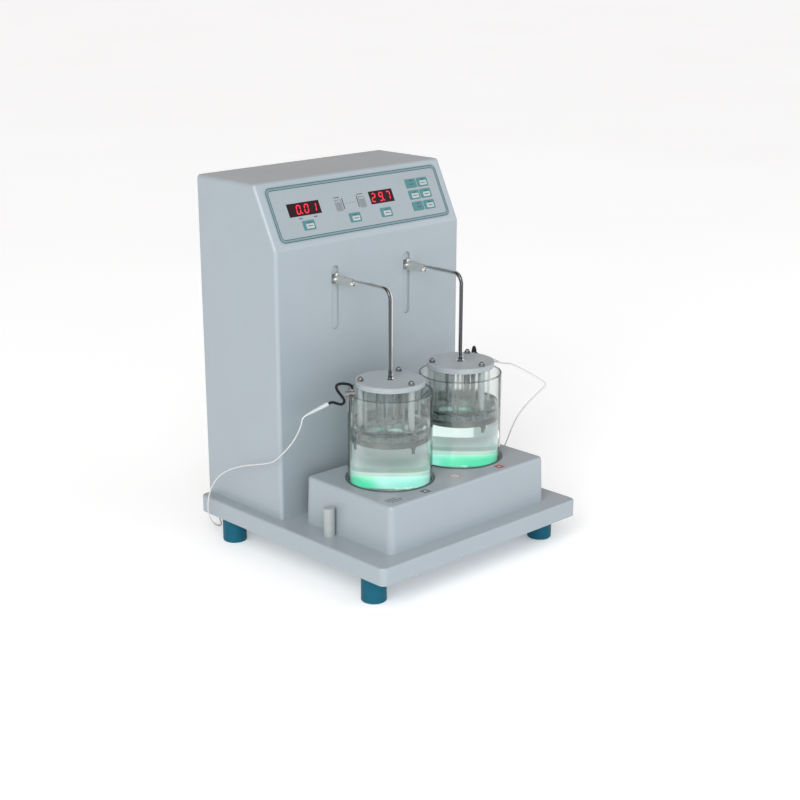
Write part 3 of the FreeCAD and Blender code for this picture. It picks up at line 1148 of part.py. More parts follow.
def make_power_rocker():
    """A rocker whose shallow V face is tipped one way at rest."""
    outer = COVER_Y + COVER_THICKNESS + INLET_FLANGE_THICKNESS
    rise = ROCKER_RADIUS * math.tan(math.radians(ROCKER_SWING / 2))
    x = INLET_X - ROCKER_WIDTH / 2
    z = INLET_Z + ROCKER_RISE
    drum = pin(x, outer, z, ROCKER_WIDTH, ROCKER_RADIUS, X_AXIS)
    face = [V(x, outer - 2 * ROCKER_RADIUS, z - 2 * ROCKER_RADIUS), V(x, outer + 3 * rise, z - 2 * ROCKER_RADIUS),
            V(x, outer + rise, z), V(x, outer + 3 * rise, z + 2 * ROCKER_RADIUS),
            V(x, outer - 2 * ROCKER_RADIUS, z + 2 * ROCKER_RADIUS)]
    keep = Part.Face(Part.makePolygon(face + face[:1])).extrude(V(ROCKER_WIDTH, 0, 0))
    rocker = drum.common(keep)
    rocker.rotate(V(x, outer, z), X_AXIS, -ROCKER_SWING / 2)
    return rocker


def build_nodes():
    """Every sub-part by name."""
    nodes = {
        "base_tray": make_base_tray(), "base_plate": make_base_plate(), "feet": make_feet(),
        "case_screws": make_case_screws(), "tower_shell": make_tower_shell(), "rear_cover": make_rear_cover(),
        "panel_film": make_panel_film(), "display_windows": make_display_windows(),
        "panel_board": make_panel_board(), "deck_housing": make_deck_housing(),
        "heater_wells": make_heater_wells(), "light_rings": make_light_rings(),
        "parking_peg": make_parking_peg(), "drive_frame": make_drive_frame(), "guide_rods": make_guide_rods(),
        "drive_motors": make_drive_motors(), "control_board": make_control_board(),
        "power_supply": make_power_supply(), "power_inlet": make_power_inlet(),
        "power_rocker": make_power_rocker(), "probe_sockets": make_probe_sockets(),
    }
    for name, (x, up) in key_places().items():
        nodes[name] = make_key(x, up)
    for name, side in SIDES.items():
        station = {
            "pinion": make_pinion(side), "carriage": make_carriage(side), "slot_shutter": make_shutter(side),
            "arm_bracket": make_arm_bracket(side), "hanger_rod": make_hanger_rod(side),
            "basket_lid": make_lid(side), "basket_tubes": make_tubes(side), "basket_plate": make_plate(side),
            "basket_screen": make_screen(side), "basket_pillars": make_pillars(side),
            "basket_studs": make_studs(side), "beaker": make_beaker(side), "probe": make_probe(side),
            "probe_lead": make_lead(name), "probe_cable": make_cable(name),
        }
        for part, shape in station.items():
            nodes[part + "_" + name] = shape
    return nodes


def main():
    os.makedirs("parts", exist_ok=True)
    for name, shape in build_nodes().items():
        solid = Part.makeCompound(shape) if isinstance(shape, list) else shape
        solid.exportStep(os.path.join("parts", name + ".step"))


main()
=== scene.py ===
import json
import math

import bmesh
import bpy
from mathutils import Matrix, Vector


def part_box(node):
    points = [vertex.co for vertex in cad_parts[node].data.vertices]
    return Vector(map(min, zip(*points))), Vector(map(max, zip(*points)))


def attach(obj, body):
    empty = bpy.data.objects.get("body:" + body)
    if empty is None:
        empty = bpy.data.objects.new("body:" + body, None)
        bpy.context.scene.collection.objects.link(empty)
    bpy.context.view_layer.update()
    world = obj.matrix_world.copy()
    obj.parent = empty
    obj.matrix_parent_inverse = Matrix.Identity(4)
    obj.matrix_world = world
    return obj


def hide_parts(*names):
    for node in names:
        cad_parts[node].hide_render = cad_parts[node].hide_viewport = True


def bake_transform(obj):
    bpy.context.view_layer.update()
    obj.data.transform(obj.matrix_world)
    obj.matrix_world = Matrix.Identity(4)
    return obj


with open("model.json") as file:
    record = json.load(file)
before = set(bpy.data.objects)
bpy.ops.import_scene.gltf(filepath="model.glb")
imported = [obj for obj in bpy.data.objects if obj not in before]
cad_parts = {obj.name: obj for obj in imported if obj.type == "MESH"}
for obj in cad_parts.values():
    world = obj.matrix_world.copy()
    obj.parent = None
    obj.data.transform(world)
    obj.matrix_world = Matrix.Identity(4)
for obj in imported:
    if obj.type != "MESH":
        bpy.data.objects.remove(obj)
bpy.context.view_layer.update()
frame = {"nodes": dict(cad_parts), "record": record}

SIDES = {"left": -1, "right": 1}

# Places that the frame gives, in metres
STATION_X = sum(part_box("beaker_right")[i].x for i in (0, 1)) / 2
STATION_Y = sum(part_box("beaker_right")[i].y for i in (0, 1)) / 2
BEAKER_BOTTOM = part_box("beaker_right")[0].z
BEAKER_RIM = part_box("beaker_right")[1].z
GLASS_OUTER = (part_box("beaker_right")[1].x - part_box("beaker_right")[0].x) / 2
GLASS_WALL = 0.0022
GLASS_FLOOR = 0.003
GLASS_CORNER = 0.008
WATER_LEVEL = 0.1938
WATER_CLEARANCE = 0.00005
DECK_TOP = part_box("deck_housing")[1].z
LID_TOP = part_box("basket_lid_right")[1].z
DISC_RADIUS = (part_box("basket_plate_right")[1].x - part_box("basket_plate_right")[0].x) / 2
CLOTH_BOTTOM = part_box("basket_screen_right")[0].z
BAND_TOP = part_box("basket_screen_right")[1].z
TUBE_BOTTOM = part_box("basket_tubes_right")[0].z
TUBE_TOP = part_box("basket_tubes_right")[1].z
TUBE_COUNT = 6
TUBE_CIRCLE = 0.0274
TUBE_OUTER = 0.0243
TUBE_WALL = 0.0015

# The panel slope: its foot, and the directions up it and out of it
SLOPE_FOOT = Vector((0, 0.029, 0.410))
SLOPE_ANGLE = math.atan2(39.5, 78.0)
SLOPE_UP = Vector((0, math.sin(SLOPE_ANGLE), math.cos(SLOPE_ANGLE)))
SLOPE_OUT = Vector((0, -math.cos(SLOPE_ANGLE), math.sin(SLOPE_ANGLE)))
FILM_FACE = 0.0005
PRINT_LIFT = 0.00006
KEY_FACE = 0.0009
MARK_LIFT = 0.0001

# Camera, from the perspective of the photograph, with the frame taken as 800 by 800
IMAGE_SIZE = 800
CAMERA_AZIMUTH = math.radians(-42.7)
CAMERA_ELEVATION = math.radians(19.4)
CAMERA_ROLL = math.radians(-0.3)
CAMERA_DISTANCE = 2.0613
CAMERA_TARGET = Vector((-0.0344, 0, 0.1062))
FOCAL_PIXELS = 1558.6
CENTRE_PIXELS = (368.3, 469.4)
SENSOR = 0.036

# The clip's and the lead's places round a beaker, and the cords
CLIP_ANGLE = math.radians(25)
GLAND_RADIUS = 0.0495
GLAND_TOP = 0.2429
LEAD_DIAMETER = 0.0034
SLEEVE_DIAMETERS = (0.0054, 0.0034)
CABLE_DIAMETER = 0.0018
LEAD_END_RUN = 0.004
CABLE_END_RUN = 0.007
SLEEVE_START = {"left": (-0.1359, -0.0380, 0.2269), "right": (0.1246, -0.0604, 0.2410)}
SLEEVE_RUN = {"left": (-0.0207, 0.0162, -0.0135), "right": (0.0074, -0.0142, -0.0042)}
SLEEVE_LENGTH = {"left": 0.030, "right": 0.017}
LEAD_LOOPS = {
    "left": [(0.0495, 0.2472), (0.0546, 0.2496), (0.0646, 0.2516), (0.0704, 0.2494), (0.0698, 0.2436),
             (0.0624, 0.2338), (0.0592, 0.2284), (0.0624, 0.2238), (0.0682, 0.2252), (0.0732, 0.2278)],
    "right": [(0.0495, 0.2475), (0.0506, 0.2534), (0.0560, 0.2564), (0.0602, 0.2512), (0.0614, 0.2450)],
}
CABLE_HANGING = {
    "left": [(-0.1600, -0.0143, 0.1994), (-0.1610, -0.0040, 0.1802), (-0.1635, 0.0060, 0.1664),
             (-0.1675, 0.0161, 0.1546), (-0.1700, 0.0316, 0.1402), (-0.1710, 0.0578, 0.1314),
             (-0.1738, 0.0860, 0.1234), (-0.1770, 0.1080, 0.1148), (-0.1800, 0.1266, 0.1040),
             (-0.1834, 0.1380, 0.0916), (-0.1862, 0.1460, 0.0770), (-0.1874, 0.1504, 0.0600),
             (-0.1864, 0.1526, 0.0440), (-0.1814, 0.1538, 0.0304), (-0.1726, 0.1560, 0.0204),
             (-0.1606, 0.1606, 0.0144), (-0.1500, 0.1720, 0.0128), (-0.1434, 0.1870, 0.0174),
             (-0.1396, 0.1990, 0.0310), (-0.1348, 0.2066, 0.0500), (-0.1306, 0.2090, 0.0700),
             (-0.1280, 0.2030, 0.0860)],
    "right": [(0.1396, -0.0920, 0.2366), (0.1484, -0.1160, 0.2274), (0.1558, -0.1320, 0.2186),
              (0.1588, -0.1386, 0.2134), (0.1558, -0.1330, 0.2068), (0.1514, -0.1206, 0.1924),
              (0.1474, -0.1030, 0.1704), (0.1444, -0.0924, 0.1482), (0.1440, -0.0826, 0.1220),
              (0.1466, -0.0680, 0.0980), (0.1520, -0.0480, 0.0780), (0.1580, -0.0220, 0.0670),
              (0.1650, 0.0140, 0.0634), (0.1706, 0.0540, 0.0626), (0.1720, 0.0960, 0.0636),
              (0.1706, 0.1360, 0.0624), (0.1676, 0.1680, 0.0650), (0.1600, 0.1900, 0.0740),
              (0.1460, 0.2000, 0.0860), (0.1340, 0.2005, 0.0916)],
}
PLUG_END = {"left": (-0.128, 0.1855, 0.092), "right": (0.128, 0.1855, 0.092)}


def graph(material):
    """The node tree of a material, emptied down to its output and one principled shader."""
    material.use_nodes = True
    tree = material.node_tree
    tree.nodes.clear()
    output = tree.nodes.new("ShaderNodeOutputMaterial")
    shader = tree.nodes.new("ShaderNodeBsdfPrincipled")
    tree.links.new(shader.outputs["BSDF"], output.inputs["Surface"])
    return tree, shader


def object_noise(tree, scale, detail=3.0, stretch=(1, 1, 1), roughness=0.5):
    """Noise over the piece's own coordinates; stretch below 1 draws it out along that axis."""
    place = tree.nodes.new("ShaderNodeTexCoord")
    mapping = tree.nodes.new("ShaderNodeMapping")
    mapping.inputs["Scale"].default_value = stretch
    noise = tree.nodes.new("ShaderNodeTexNoise")
    noise.inputs["Scale"].default_value = scale
    noise.inputs["Detail"].default_value = detail
    noise.inputs["Roughness"].default_value = roughness
    tree.links.new(place.outputs["Object"], mapping.inputs["Vector"])
    tree.links.new(mapping.outputs["Vector"], noise.inputs["Vector"])
    return noise.outputs["Fac"]


def spread(tree, value, low, high, from_low=0.2, from_high=0.8):
    """A value stretched softly to a range."""
    node = tree.nodes.new("ShaderNodeMapRange")
    node.interpolation_type = "SMOOTHSTEP"
    node.inputs["From Min"].default_value = from_low
    node.inputs["From Max"].default_value = from_high
    node.inputs["To Min"].default_value = low
    node.inputs["To Max"].default_value = high
    tree.links.new(value, node.inputs["Value"])
    return node.outputs["Result"]


def blend_colours(tree, value, first, second):
    """A colour between two, by a value."""
    node = tree.nodes.new("ShaderNodeMix")
    node.data_type = "RGBA"
    node.inputs[6].default_value = (*first, 1)
    node.inputs[7].default_value = (*second, 1)
    tree.links.new(value, node.inputs[0])
    return node.outputs[2]


def add_bump(tree, shader, height, depth, strength=1.0):
    """Fine relief on a shader."""
    node = tree.nodes.new("ShaderNodeBump")
    node.inputs["Strength"].default_value = strength
    node.inputs["Distance"].default_value = depth
    tree.links.new(height, node.inputs["Height"])
    tree.links.new(node.outputs["Normal"], shader.inputs["Normal"])


def shade(colour, factor):
    """A colour made darker or lighter."""
    return tuple(min(1.0, channel * factor) for channel in colour)


def moulded(name, colour, gloss=0.35, mottle=0.05, mottle_size=0.02, grain_size=0.0007, grain_depth=0.00001,
            coat=0.0, gleam=0.5):
    """A moulded or painted finish: faint mottling, uneven gloss and a fine grain."""
    material = bpy.data.materials.new(name)
    tree, shader = graph(material)
    cloud = object_noise(tree, 1 / mottle_size, 4)
    colours = blend_colours(tree, spread(tree, cloud, 0, 1), shade(colour, 1 - mottle), shade(colour, 1 + mottle / 2))
    tree.links.new(colours, shader.inputs["Base Color"])
    smear = object_noise(tree, 0.4 / mottle_size, 5)
    tree.links.new(spread(tree, smear, gloss * 0.85, gloss * 1.2), shader.inputs["Roughness"])
    add_bump(tree, shader, object_noise(tree, 1 / grain_size, 2), grain_depth)
    shader.inputs["Specular IOR Level"].default_value = gleam
    shader.inputs["Coat Weight"].default_value = coat
    shader.inputs["Coat Roughness"].default_value = 0.12
    return material


def rim_blend(tree, first, last):
    """A value that is 0 where a surface faces the eye and 1 where it turns away."""
    weight = tree.nodes.new("ShaderNodeLayerWeight")
    weight.inputs["Blend"].default_value = 0.5
    return spread(tree, weight.outputs["Facing"], 0, 1, first, last)


def metal(name, colour, gloss, streak=(1, 1, 1), streak_size=0.0006, depth=0.000004, spotting_and_painted_reflections=0.06, rim=None):
    """A metal with brush or turning streaks and slightly uneven colour, spread wide enough on the dark band to paint
    patches of reflection, and, where a rim colour is given, a painted edge: a painted bright highlight on the polished
    rod and the clip, a painted dark outline on the fasteners.
    """
    material = bpy.data.materials.new(name)
    tree, shader = graph(material)
    shader.inputs["Metallic"].default_value = 1
    streaks = object_noise(tree, 1 / streak_size, 3, streak)
    # a wide spread here paints patches of light and dark reflection, as on the dark band
    colours = blend_colours(tree, spread(tree, streaks, 0, 1), shade(colour, max(0.1, 1 - spotting_and_painted_reflections)),
                            shade(colour, 1 + spotting_and_painted_reflections))
    # the rim colour is painted on the edges seen side on: painted highlight where it is light, painted shade where it
    # is dark
    if rim:
        polished = blend_colours(tree, rim_blend(tree, 0.18, 0.5), colour, rim)
        tree.links.new(colours, polished.node.inputs[6])
        colours = polished
    tree.links.new(colours, shader.inputs["Base Color"])
    tree.links.new(spread(tree, streaks, gloss * 0.8, gloss * 1.3), shader.inputs["Roughness"])
    add_bump(tree, shader, streaks, depth)
    return material


def clear(name, colour, index, roughness=0.0, waviness=0.0, weight=1.0, alpha=1.0):
    """A clear solid such as glass, acrylic or water; less alpha keeps nested thin walls bright."""
    material = bpy.data.materials.new(name)
    tree, shader = graph(material)
    shader.inputs["Base Color"].default_value = (*colour, 1)
    shader.inputs["Transmission Weight"].default_value = weight
    shader.inputs["IOR"].default_value = index
    shader.inputs["Alpha"].default_value = alpha
    smear = object_noise(tree, 60, 4)
    tree.links.new(spread(tree, smear, roughness, roughness + 0.006), shader.inputs["Roughness"])
    add_bump(tree, shader, object_noise(tree, 45, 1), 0.00001 + waviness)
    return material


def glass_wall(name, middle, edge, index):
    """A thin blown wall: clear where it faces the eye, with painted shade where it is seen edge on and a painted dark
    line just under the rim.
    """
    material = clear(name, middle, index)
    tree = material.node_tree
    shader = next(node for node in tree.nodes if node.type == "BSDF_PRINCIPLED")
    place = tree.nodes.new("ShaderNodeTexCoord")
    apart = tree.nodes.new("ShaderNodeSeparateXYZ")
    tree.links.new(place.outputs["Object"], apart.inputs[0])
    # painted dark line just under the rim, joined with painted shade on the edges seen side on
    painted_lip_line = spread(tree, apart.outputs["Z"], 0.0, 0.55, BEAKER_RIM - 0.0024, BEAKER_RIM - 0.0014)
    darker = math_node(tree, "MAXIMUM", rim_blend(tree, 0.55, 0.95), painted_lip_line)
    tree.links.new(blend_colours(tree, darker, middle, edge), shader.inputs["Base Color"])
    shader.inputs["Coat Weight"].default_value = 1
    shader.inputs["Coat Roughness"].default_value = 0.02
    shader.inputs["Coat IOR"].default_value = 1.47
    return material


def drawn_glass(name, colour, least, most):
    """A thin drawn tube: nearly unseen in its middle, with painted upright streaks of highlight and shade and painted
    darker, glossy sides.
    """
    material = bpy.data.materials.new(name)
    tree, shader = graph(material)
    # upright streaks of painted highlight and painted shade
    streaks = object_noise(tree, 180, 2, (1, 1, 0.05))
    colours = blend_colours(tree, spread(tree, streaks, 0, 1), shade(colour, 0.55), shade(colour, 1.7))
    tree.links.new(colours, shader.inputs["Base Color"])
    tree.links.new(spread(tree, streaks, 0.02, 0.08), shader.inputs["Roughness"])
    # the sides turn opaque, showing a painted dark outline
    alpha = blend_colours(tree, rim_blend(tree, 0.35, 0.95), (least,) * 3, (most,) * 3)
    tree.links.new(alpha, shader.inputs["Alpha"])
    shader.inputs["Specular IOR Level"].default_value = 1
    return material


def glowing(name, colour, strength, body=(0.8, 0.8, 0.8)):
    """A lit plastic: brighter and dimmer in soft patches."""
    material = bpy.data.materials.new(name)
    tree, shader = graph(material)
    shader.inputs["Base Color"].default_value = (*body, 1)
    shader.inputs["Emission Color"].default_value = (*colour, 1)
    patches = object_noise(tree, 90, 2)
    tree.links.new(spread(tree, patches, strength * 0.85, strength * 1.15), shader.inputs["Emission Strength"])
    tree.links.new(spread(tree, patches, 0.3, 0.45), shader.inputs["Roughness"])
    return material


def lit_ring():
    """The ring of lamps: green and whiter patches low down, a paler band above them and an unlit top face."""
    material = bpy.data.materials.new("ring_plastic")
    tree, shader = graph(material)
    patches = object_noise(tree, 55, 1)
    place = tree.nodes.new("ShaderNodeTexCoord")
    apart = tree.nodes.new("ShaderNodeSeparateXYZ")
    tree.links.new(place.outputs["Object"], apart.inputs[0])
    across = math_node(tree, "SUBTRACT", math_node(tree, "ABSOLUTE", math_node(tree, "ADD", apart.outputs["X"], 0.002)),
                       STATION_X)
    lamps = math_node(tree, "ADD", math_node(tree, "SINE", math_node(tree, "MULTIPLY", across, 95)),
                      math_node(tree, "MULTIPLY", math_node(tree, "SUBTRACT", patches, 0.5), 1.6))
    colours = blend_colours(tree, spread(tree, lamps, 0, 1, -0.55, 0.75), (0.008, 0.86, 0.45), (0.42, 0.95, 0.87))
    edge = spread(tree, apart.outputs["Z"], 0.0, 1.0, 0.1100, 0.1150)
    faded = blend_colours(tree, edge, (0, 0, 0), (0.86, 0.97, 0.94))
    tree.links.new(colours, faded.node.inputs[6])
    tree.links.new(faded, shader.inputs["Emission Color"])
    shaded = spread(tree, apart.outputs["Z"], 1.0, 0.0, 0.1168, 0.1186)
    strength = math_node(tree, "MULTIPLY", spread(tree, edge, 0.90, 0.42, 0, 1), shaded)
    tree.links.new(strength, shader.inputs["Emission Strength"])
    body = blend_colours(tree, patches, (0.05, 0.085, 0.08), (0.07, 0.11, 0.105))
    tree.links.new(body, shader.inputs["Base Color"])
    tree.links.new(spread(tree, patches, 0.3, 0.45), shader.inputs["Roughness"])
    return material


def lit_water():
    """Clear water with a painted glow of the ring's light in a soft band over its foot, and painted shade that makes it
    darker higher up.
    """
    material = clear("water", (0.86, 0.985, 0.95), 1.33, 0.0, 0.00003)
    tree = material.node_tree
    shader = next(node for node in tree.nodes if node.type == "BSDF_PRINCIPLED")
    place = tree.nodes.new("ShaderNodeTexCoord")
    apart = tree.nodes.new("ShaderNodeSeparateXYZ")
    tree.links.new(place.outputs["Object"], apart.inputs[0])
    # painted glow: the water itself emits in a band over its foot
    painted_glow_rise = spread(tree, apart.outputs["Z"], 0.03, 0.25, 0.126, 0.141)
    painted_glow_fall = spread(tree, apart.outputs["Z"], 1.0, 0.0, 0.147, 0.162)
    tree.links.new(math_node(tree, "MULTIPLY", painted_glow_rise, painted_glow_fall), shader.inputs["Emission Strength"])
    # painted shade: the water's colour darkens higher up
    height = spread(tree, apart.outputs["Z"], 0, 1, 0.146, 0.170)
    tree.links.new(blend_colours(tree, height, (0.88, 0.99, 0.96), (0.66, 0.76, 0.745)), shader.inputs["Base Color"])
    painted_glow_tint = blend_colours(tree, spread(tree, object_noise(tree, 25, 1), 0, 1), (0.80, 1.0, 0.93), (0.95, 1.0, 0.99))
    tree.links.new(painted_glow_tint, shader.inputs["Emission Color"])
    return material


def make_materials():
    """Every finish by the record's slot name, and the finishes of the scene's own pieces."""
    return {
        "housing": moulded("housing", (0.290, 0.338, 0.372), 0.32, 0.02, 0.05, 0.0009, 0.000006, coat=0.2),
        "sheet": moulded("sheet", (0.28, 0.32, 0.345), 0.42, 0.04, 0.03, 0.0011, 0.00002),
        "foot_plastic": moulded("foot_plastic", (0.0015, 0.085, 0.135), 0.5, 0.10, 0.01, gleam=0.2),
        # the fasteners' darker rim colour is a painted dark outline on the edges seen side on
        "fastener": metal("fastener", (0.20, 0.205, 0.21), 0.2, (1, 1, 6), rim=(0.10, 0.10, 0.105)),
        "film": moulded("film", (0.262, 0.305, 0.332), 0.36, 0.02, 0.04, 0.0005, 0.000003),
        "window": moulded("window", (0.016, 0.002, 0.005), 0.3, 0.2, 0.02, 0.002, 0.000001, gleam=0.15),
        "board": moulded("board", (0.01, 0.12, 0.04), 0.3, 0.3, 0.002),
        "well_metal": metal("well_metal", (0.72, 0.73, 0.74), 0.3, (1, 1, 10)),
        "ring_plastic": lit_ring(),
        "white_plastic": moulded("white_plastic", (0.315, 0.35, 0.348), 0.4, 0.05, 0.01),
        "frame_metal": metal("frame_metal", (0.60, 0.61, 0.62), 0.38, (1, 1, 1), 0.004),
        # the rod's near-black colour is a painted dark reflection, and its white rim colour is a painted bright
        # highlight on the edges
        "polished_rod": metal("polished_rod", (0.085, 0.09, 0.095), 0.10, (1, 1, 0.1), 0.0008, rim=(1.0, 1.0, 0.98)),
        "motor_metal": metal("motor_metal", (0.42, 0.43, 0.44), 0.35, (1, 8, 1)),
        "black_plastic": moulded("black_plastic", (0.012, 0.012, 0.013), 0.38, 0.2, 0.004),
        "key_plastic": moulded("key_plastic", (0.041, 0.172, 0.184), 0.4, 0.06, 0.006, 0.0004, 0.000004),
        "pinion_brass": metal("pinion_brass", (0.78, 0.58, 0.25), 0.25, (1, 8, 1)),
        "carriage_metal": metal("carriage_metal", (0.70, 0.71, 0.72), 0.32, (1, 1, 0.2)),
        "shutter_plastic": moulded("shutter_plastic", (0.35, 0.40, 0.435), 0.45, 0.05, 0.02),
        "bracket_steel": metal("bracket_steel", (0.66, 0.66, 0.63), 0.4, (1, 0.1, 1)),
        "milky_plastic": milky(),
        # the glass's second colour is painted shade on the edges seen side on and on the line under the rim
        "glass": glass_wall("glass", (0.955, 0.985, 0.975), (0.10, 0.16, 0.145), 1.12),
        # both clear finishes carry painted upright streaks of highlight and shade, and painted darker sides
        "tube_glass": drawn_glass("tube_glass", (0.44, 0.51, 0.49), 0.05, 0.72),
        "clear_plastic": drawn_glass("clear_plastic", (0.40, 0.45, 0.46), 0.42, 0.85),
        # the wire cloth's dark colour is a painted dark reflection
        "wire_cloth": metal("wire_cloth", (0.24, 0.25, 0.25), 0.2, (1, 1, 8)),
        # the clip's light rim colour is a painted bright highlight on the edges seen side on
        "clip_steel": metal("clip_steel", (0.30, 0.30, 0.29), 0.2, (1, 1, 0.2), rim=(0.8, 0.8, 0.78)),
        "black_rubber": moulded("black_rubber", (0.003, 0.003, 0.004), 0.5, 0.2, 0.003, 0.0004, 0.00002, gleam=0.25),
        "pale_cable": moulded("pale_cable", (0.55, 0.56, 0.56), 0.45, 0.08, 0.004),
        "water": lit_water(),
        # the band's near-black colour is a painted dark reflection, and its wide spread paints patches of bright
        # reflection
        "band_steel": metal("band_steel", (0.085, 0.084, 0.08), 0.12, (1, 1, 0.2), 0.022, 0.000004, 2.8),
        "droplet": clear("droplet", (0.95, 1.0, 0.98), 1.33, 0.0),
        "sleeve": clear("sleeve", (0.60, 0.64, 0.65), 1.40, 0.25, weight=0.35),
        "print": moulded("print", (0.025, 0.095, 0.115), 0.4, 0.08, 0.004),
        "print_grey": moulded("print_grey", (0.03, 0.038, 0.042), 0.4, 0.08, 0.004),
        "print_pale": moulded("print_pale", (0.13, 0.215, 0.235), 0.4, 0.06, 0.004),
        "print_fill": moulded("print_fill", (0.17, 0.195, 0.205), 0.4, 0.06, 0.002),
        "print_white": moulded("print_white", (0.36, 0.41, 0.42), 0.4, 0.04, 0.004),
        "digits": glowing("digits", (1.0, 0.008, 0.035), 1.05, (0.3, 0.0, 0.01)),
        "mark_dark": moulded("mark_dark", (0.05, 0.07, 0.09), 0.35, 0.1, 0.002),
        "mark_red": moulded("mark_red", (0.36, 0.035, 0.035), 0.35, 0.1, 0.002),
        "mark_pale": moulded("mark_pale", (0.44, 0.46, 0.47), 0.35, 0.05, 0.003),
            }


def milky():
    """The lid's frosted plastic, which lets light through but hides what is under it."""
    material = bpy.data.materials.new("milky_plastic")
    tree, shader = graph(material)
    cloud = object_noise(tree, 60, 4)
    colours = blend_colours(tree, spread(tree, cloud, 0, 1), (0.37, 0.42, 0.445), (0.43, 0.485, 0.51))
    tree.links.new(colours, shader.inputs["Base Color"])
    tree.links.new(spread(tree, cloud, 0.30, 0.42), shader.inputs["Roughness"])
    shader.inputs["Transmission Weight"].default_value = 0.25
    shader.inputs["Subsurface Weight"].default_value = 0.2
    shader.inputs["Subsurface Radius"].default_value = (0.004, 0.004, 0.004)
    add_bump(tree, shader, object_noise(tree, 1500, 2), 0.000008)
    return material


def piece(name, mesh, material, body, smooth_angle=math.radians(35)):
    """A finished piece that rides on a body, with one material."""
    mesh.materials.clear()
    mesh.materials.append(MATERIALS[material])
    for polygon in mesh.polygons:
        polygon.use_smooth = True
    mesh.set_sharp_from_angle(angle=smooth_angle)
    thing = bpy.data.objects.new(name, mesh)
    bpy.context.scene.collection.objects.link(thing)
    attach(thing, body)
    return thing


def lathe(profile, centre=(0, 0, 0), segments=96, closed=True):
    """A turned mesh from (radius, height) points, closed at the axis where a radius is zero."""
    mesh = bpy.data.meshes.new("turned")
    work = bmesh.new()
    rings = []
    for radius, height in profile:
        if radius < 1e-9:
            rings.append([work.verts.new((0, 0, height))])
            continue
        rings.append([work.verts.new((radius * math.cos(2 * math.pi * i / segments),
                                      radius * math.sin(2 * math.pi * i / segments), height))
                      for i in range(segments)])
    pairs = list(zip(rings, rings[1:]))
    if closed:
        pairs.append((rings[-1], rings[0]))
    for lower, upper in pairs:
        if len(lower) == 1 and len(upper) == 1:
            continue
        for i in range(segments):
            j = (i + 1) % segments
            if len(lower) == 1:
                corners = (lower[0], upper[j], upper[i])
            elif len(upper) == 1:
                corners = (lower[i], lower[j], upper[0])
            else:
                corners = (lower[i], lower[j], upper[j], upper[i])
            work.faces.new(corners)
    bmesh.ops.recalc_face_normals(work, faces=work.faces)
    work.transform(Matrix.Translation(centre))
    work.to_mesh(mesh)
    work.free()
    return mesh


def arc(centre, radius, first, last, steps):
    """Points of an arc in a turned profile, by angles in degrees."""
    points = []
    for i in range(steps + 1):
        angle = math.radians(first + (last - first) * i / steps)
        points.append((centre[0] + radius * math.cos(angle), centre[1] + radius * math.sin(angle)))
    return points


def add_beakers():
    """Smooth turned beakers with a rounded foot and a fire-polished bead at the rim."""
    inner = GLASS_OUTER - GLASS_WALL
    foot = BEAKER_BOTTOM + GLASS_CORNER
    floor = BEAKER_BOTTOM + GLASS_FLOOR
    inner_corner = GLASS_CORNER - GLASS_WALL
    bead = GLASS_WALL / 2
    profile = [(0, BEAKER_BOTTOM)]
    profile += arc((GLASS_OUTER - GLASS_CORNER, foot), GLASS_CORNER, -90, 0, 8)
    profile += arc((GLASS_OUTER - bead, BEAKER_RIM - bead), bead, 0, 180, 8)
    profile += arc((inner - inner_corner, floor + inner_corner), inner_corner, 0, -90, 8)
    profile += [(0, floor)]
    for name, side in SIDES.items():
        mesh = lathe(profile, (side * STATION_X, STATION_Y, 0), 128, closed=False)
        beaker = piece("beaker_glass_" + name, mesh, "glass", "vessel_" + name)
        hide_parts("beaker_" + name)


def add_water():
    """Water up to its level, with a meniscus against the glass."""
    inner = GLASS_OUTER - GLASS_WALL - WATER_CLEARANCE
    corner = GLASS_CORNER - GLASS_WALL
    floor = BEAKER_BOTTOM + GLASS_FLOOR + WATER_CLEARANCE
    rise = 0.0016
    profile = [(0, floor)] + arc((inner - corner, floor + corner), corner, -90, 0, 6)
    profile += [(inner, WATER_LEVEL + rise), (inner - 0.0004, WATER_LEVEL + rise * 0.55),
                (inner - 0.0012, WATER_LEVEL + rise * 0.15), (inner - 0.003, WATER_LEVEL), (0, WATER_LEVEL)]
    for name, side in SIDES.items():
        mesh = lathe(profile, (side * STATION_X, STATION_Y, 0), 128, closed=False)
        piece("water_" + name, mesh, "water", "vessel_" + name)


def radial(name, radius, height):
    """A point in the upright plane through a beaker's axis and its clip."""
    side = SIDES[name]
    return Vector((side * (STATION_X + radius * math.cos(CLIP_ANGLE)), STATION_Y + radius * math.sin(CLIP_ANGLE),
                   height))


def spline_object(name, points, diameter):
    """A smooth cord through its control points."""
    curve = bpy.data.curves.new(name, "CURVE")
    curve.dimensions = "3D"
    curve.bevel_depth = diameter / 2
    curve.bevel_resolution = 5
    curve.use_fill_caps = True
    spline = curve.splines.new("NURBS")
    spline.points.add(len(points) - 1)
    for target, place in zip(spline.points, points):
        target.co = (*place, 1)
    spline.order_u = 3
    spline.use_endpoint_u = True
    spline.resolution_u = 10
    thing = bpy.data.objects.new(name, curve)
    bpy.context.scene.collection.objects.link(thing)
    return thing


def centreline(thing):
    """The points that a cord's curve passes through."""
    depth = thing.data.bevel_depth
    thing.data.bevel_depth = 0
    bpy.context.view_layer.update()
    graph_now = bpy.context.evaluated_depsgraph_get()
    line = bpy.data.meshes.new_from_object(thing.evaluated_get(graph_now))
    thing.data.bevel_depth = depth
    return [vertex.co.copy() for vertex in line.vertices]


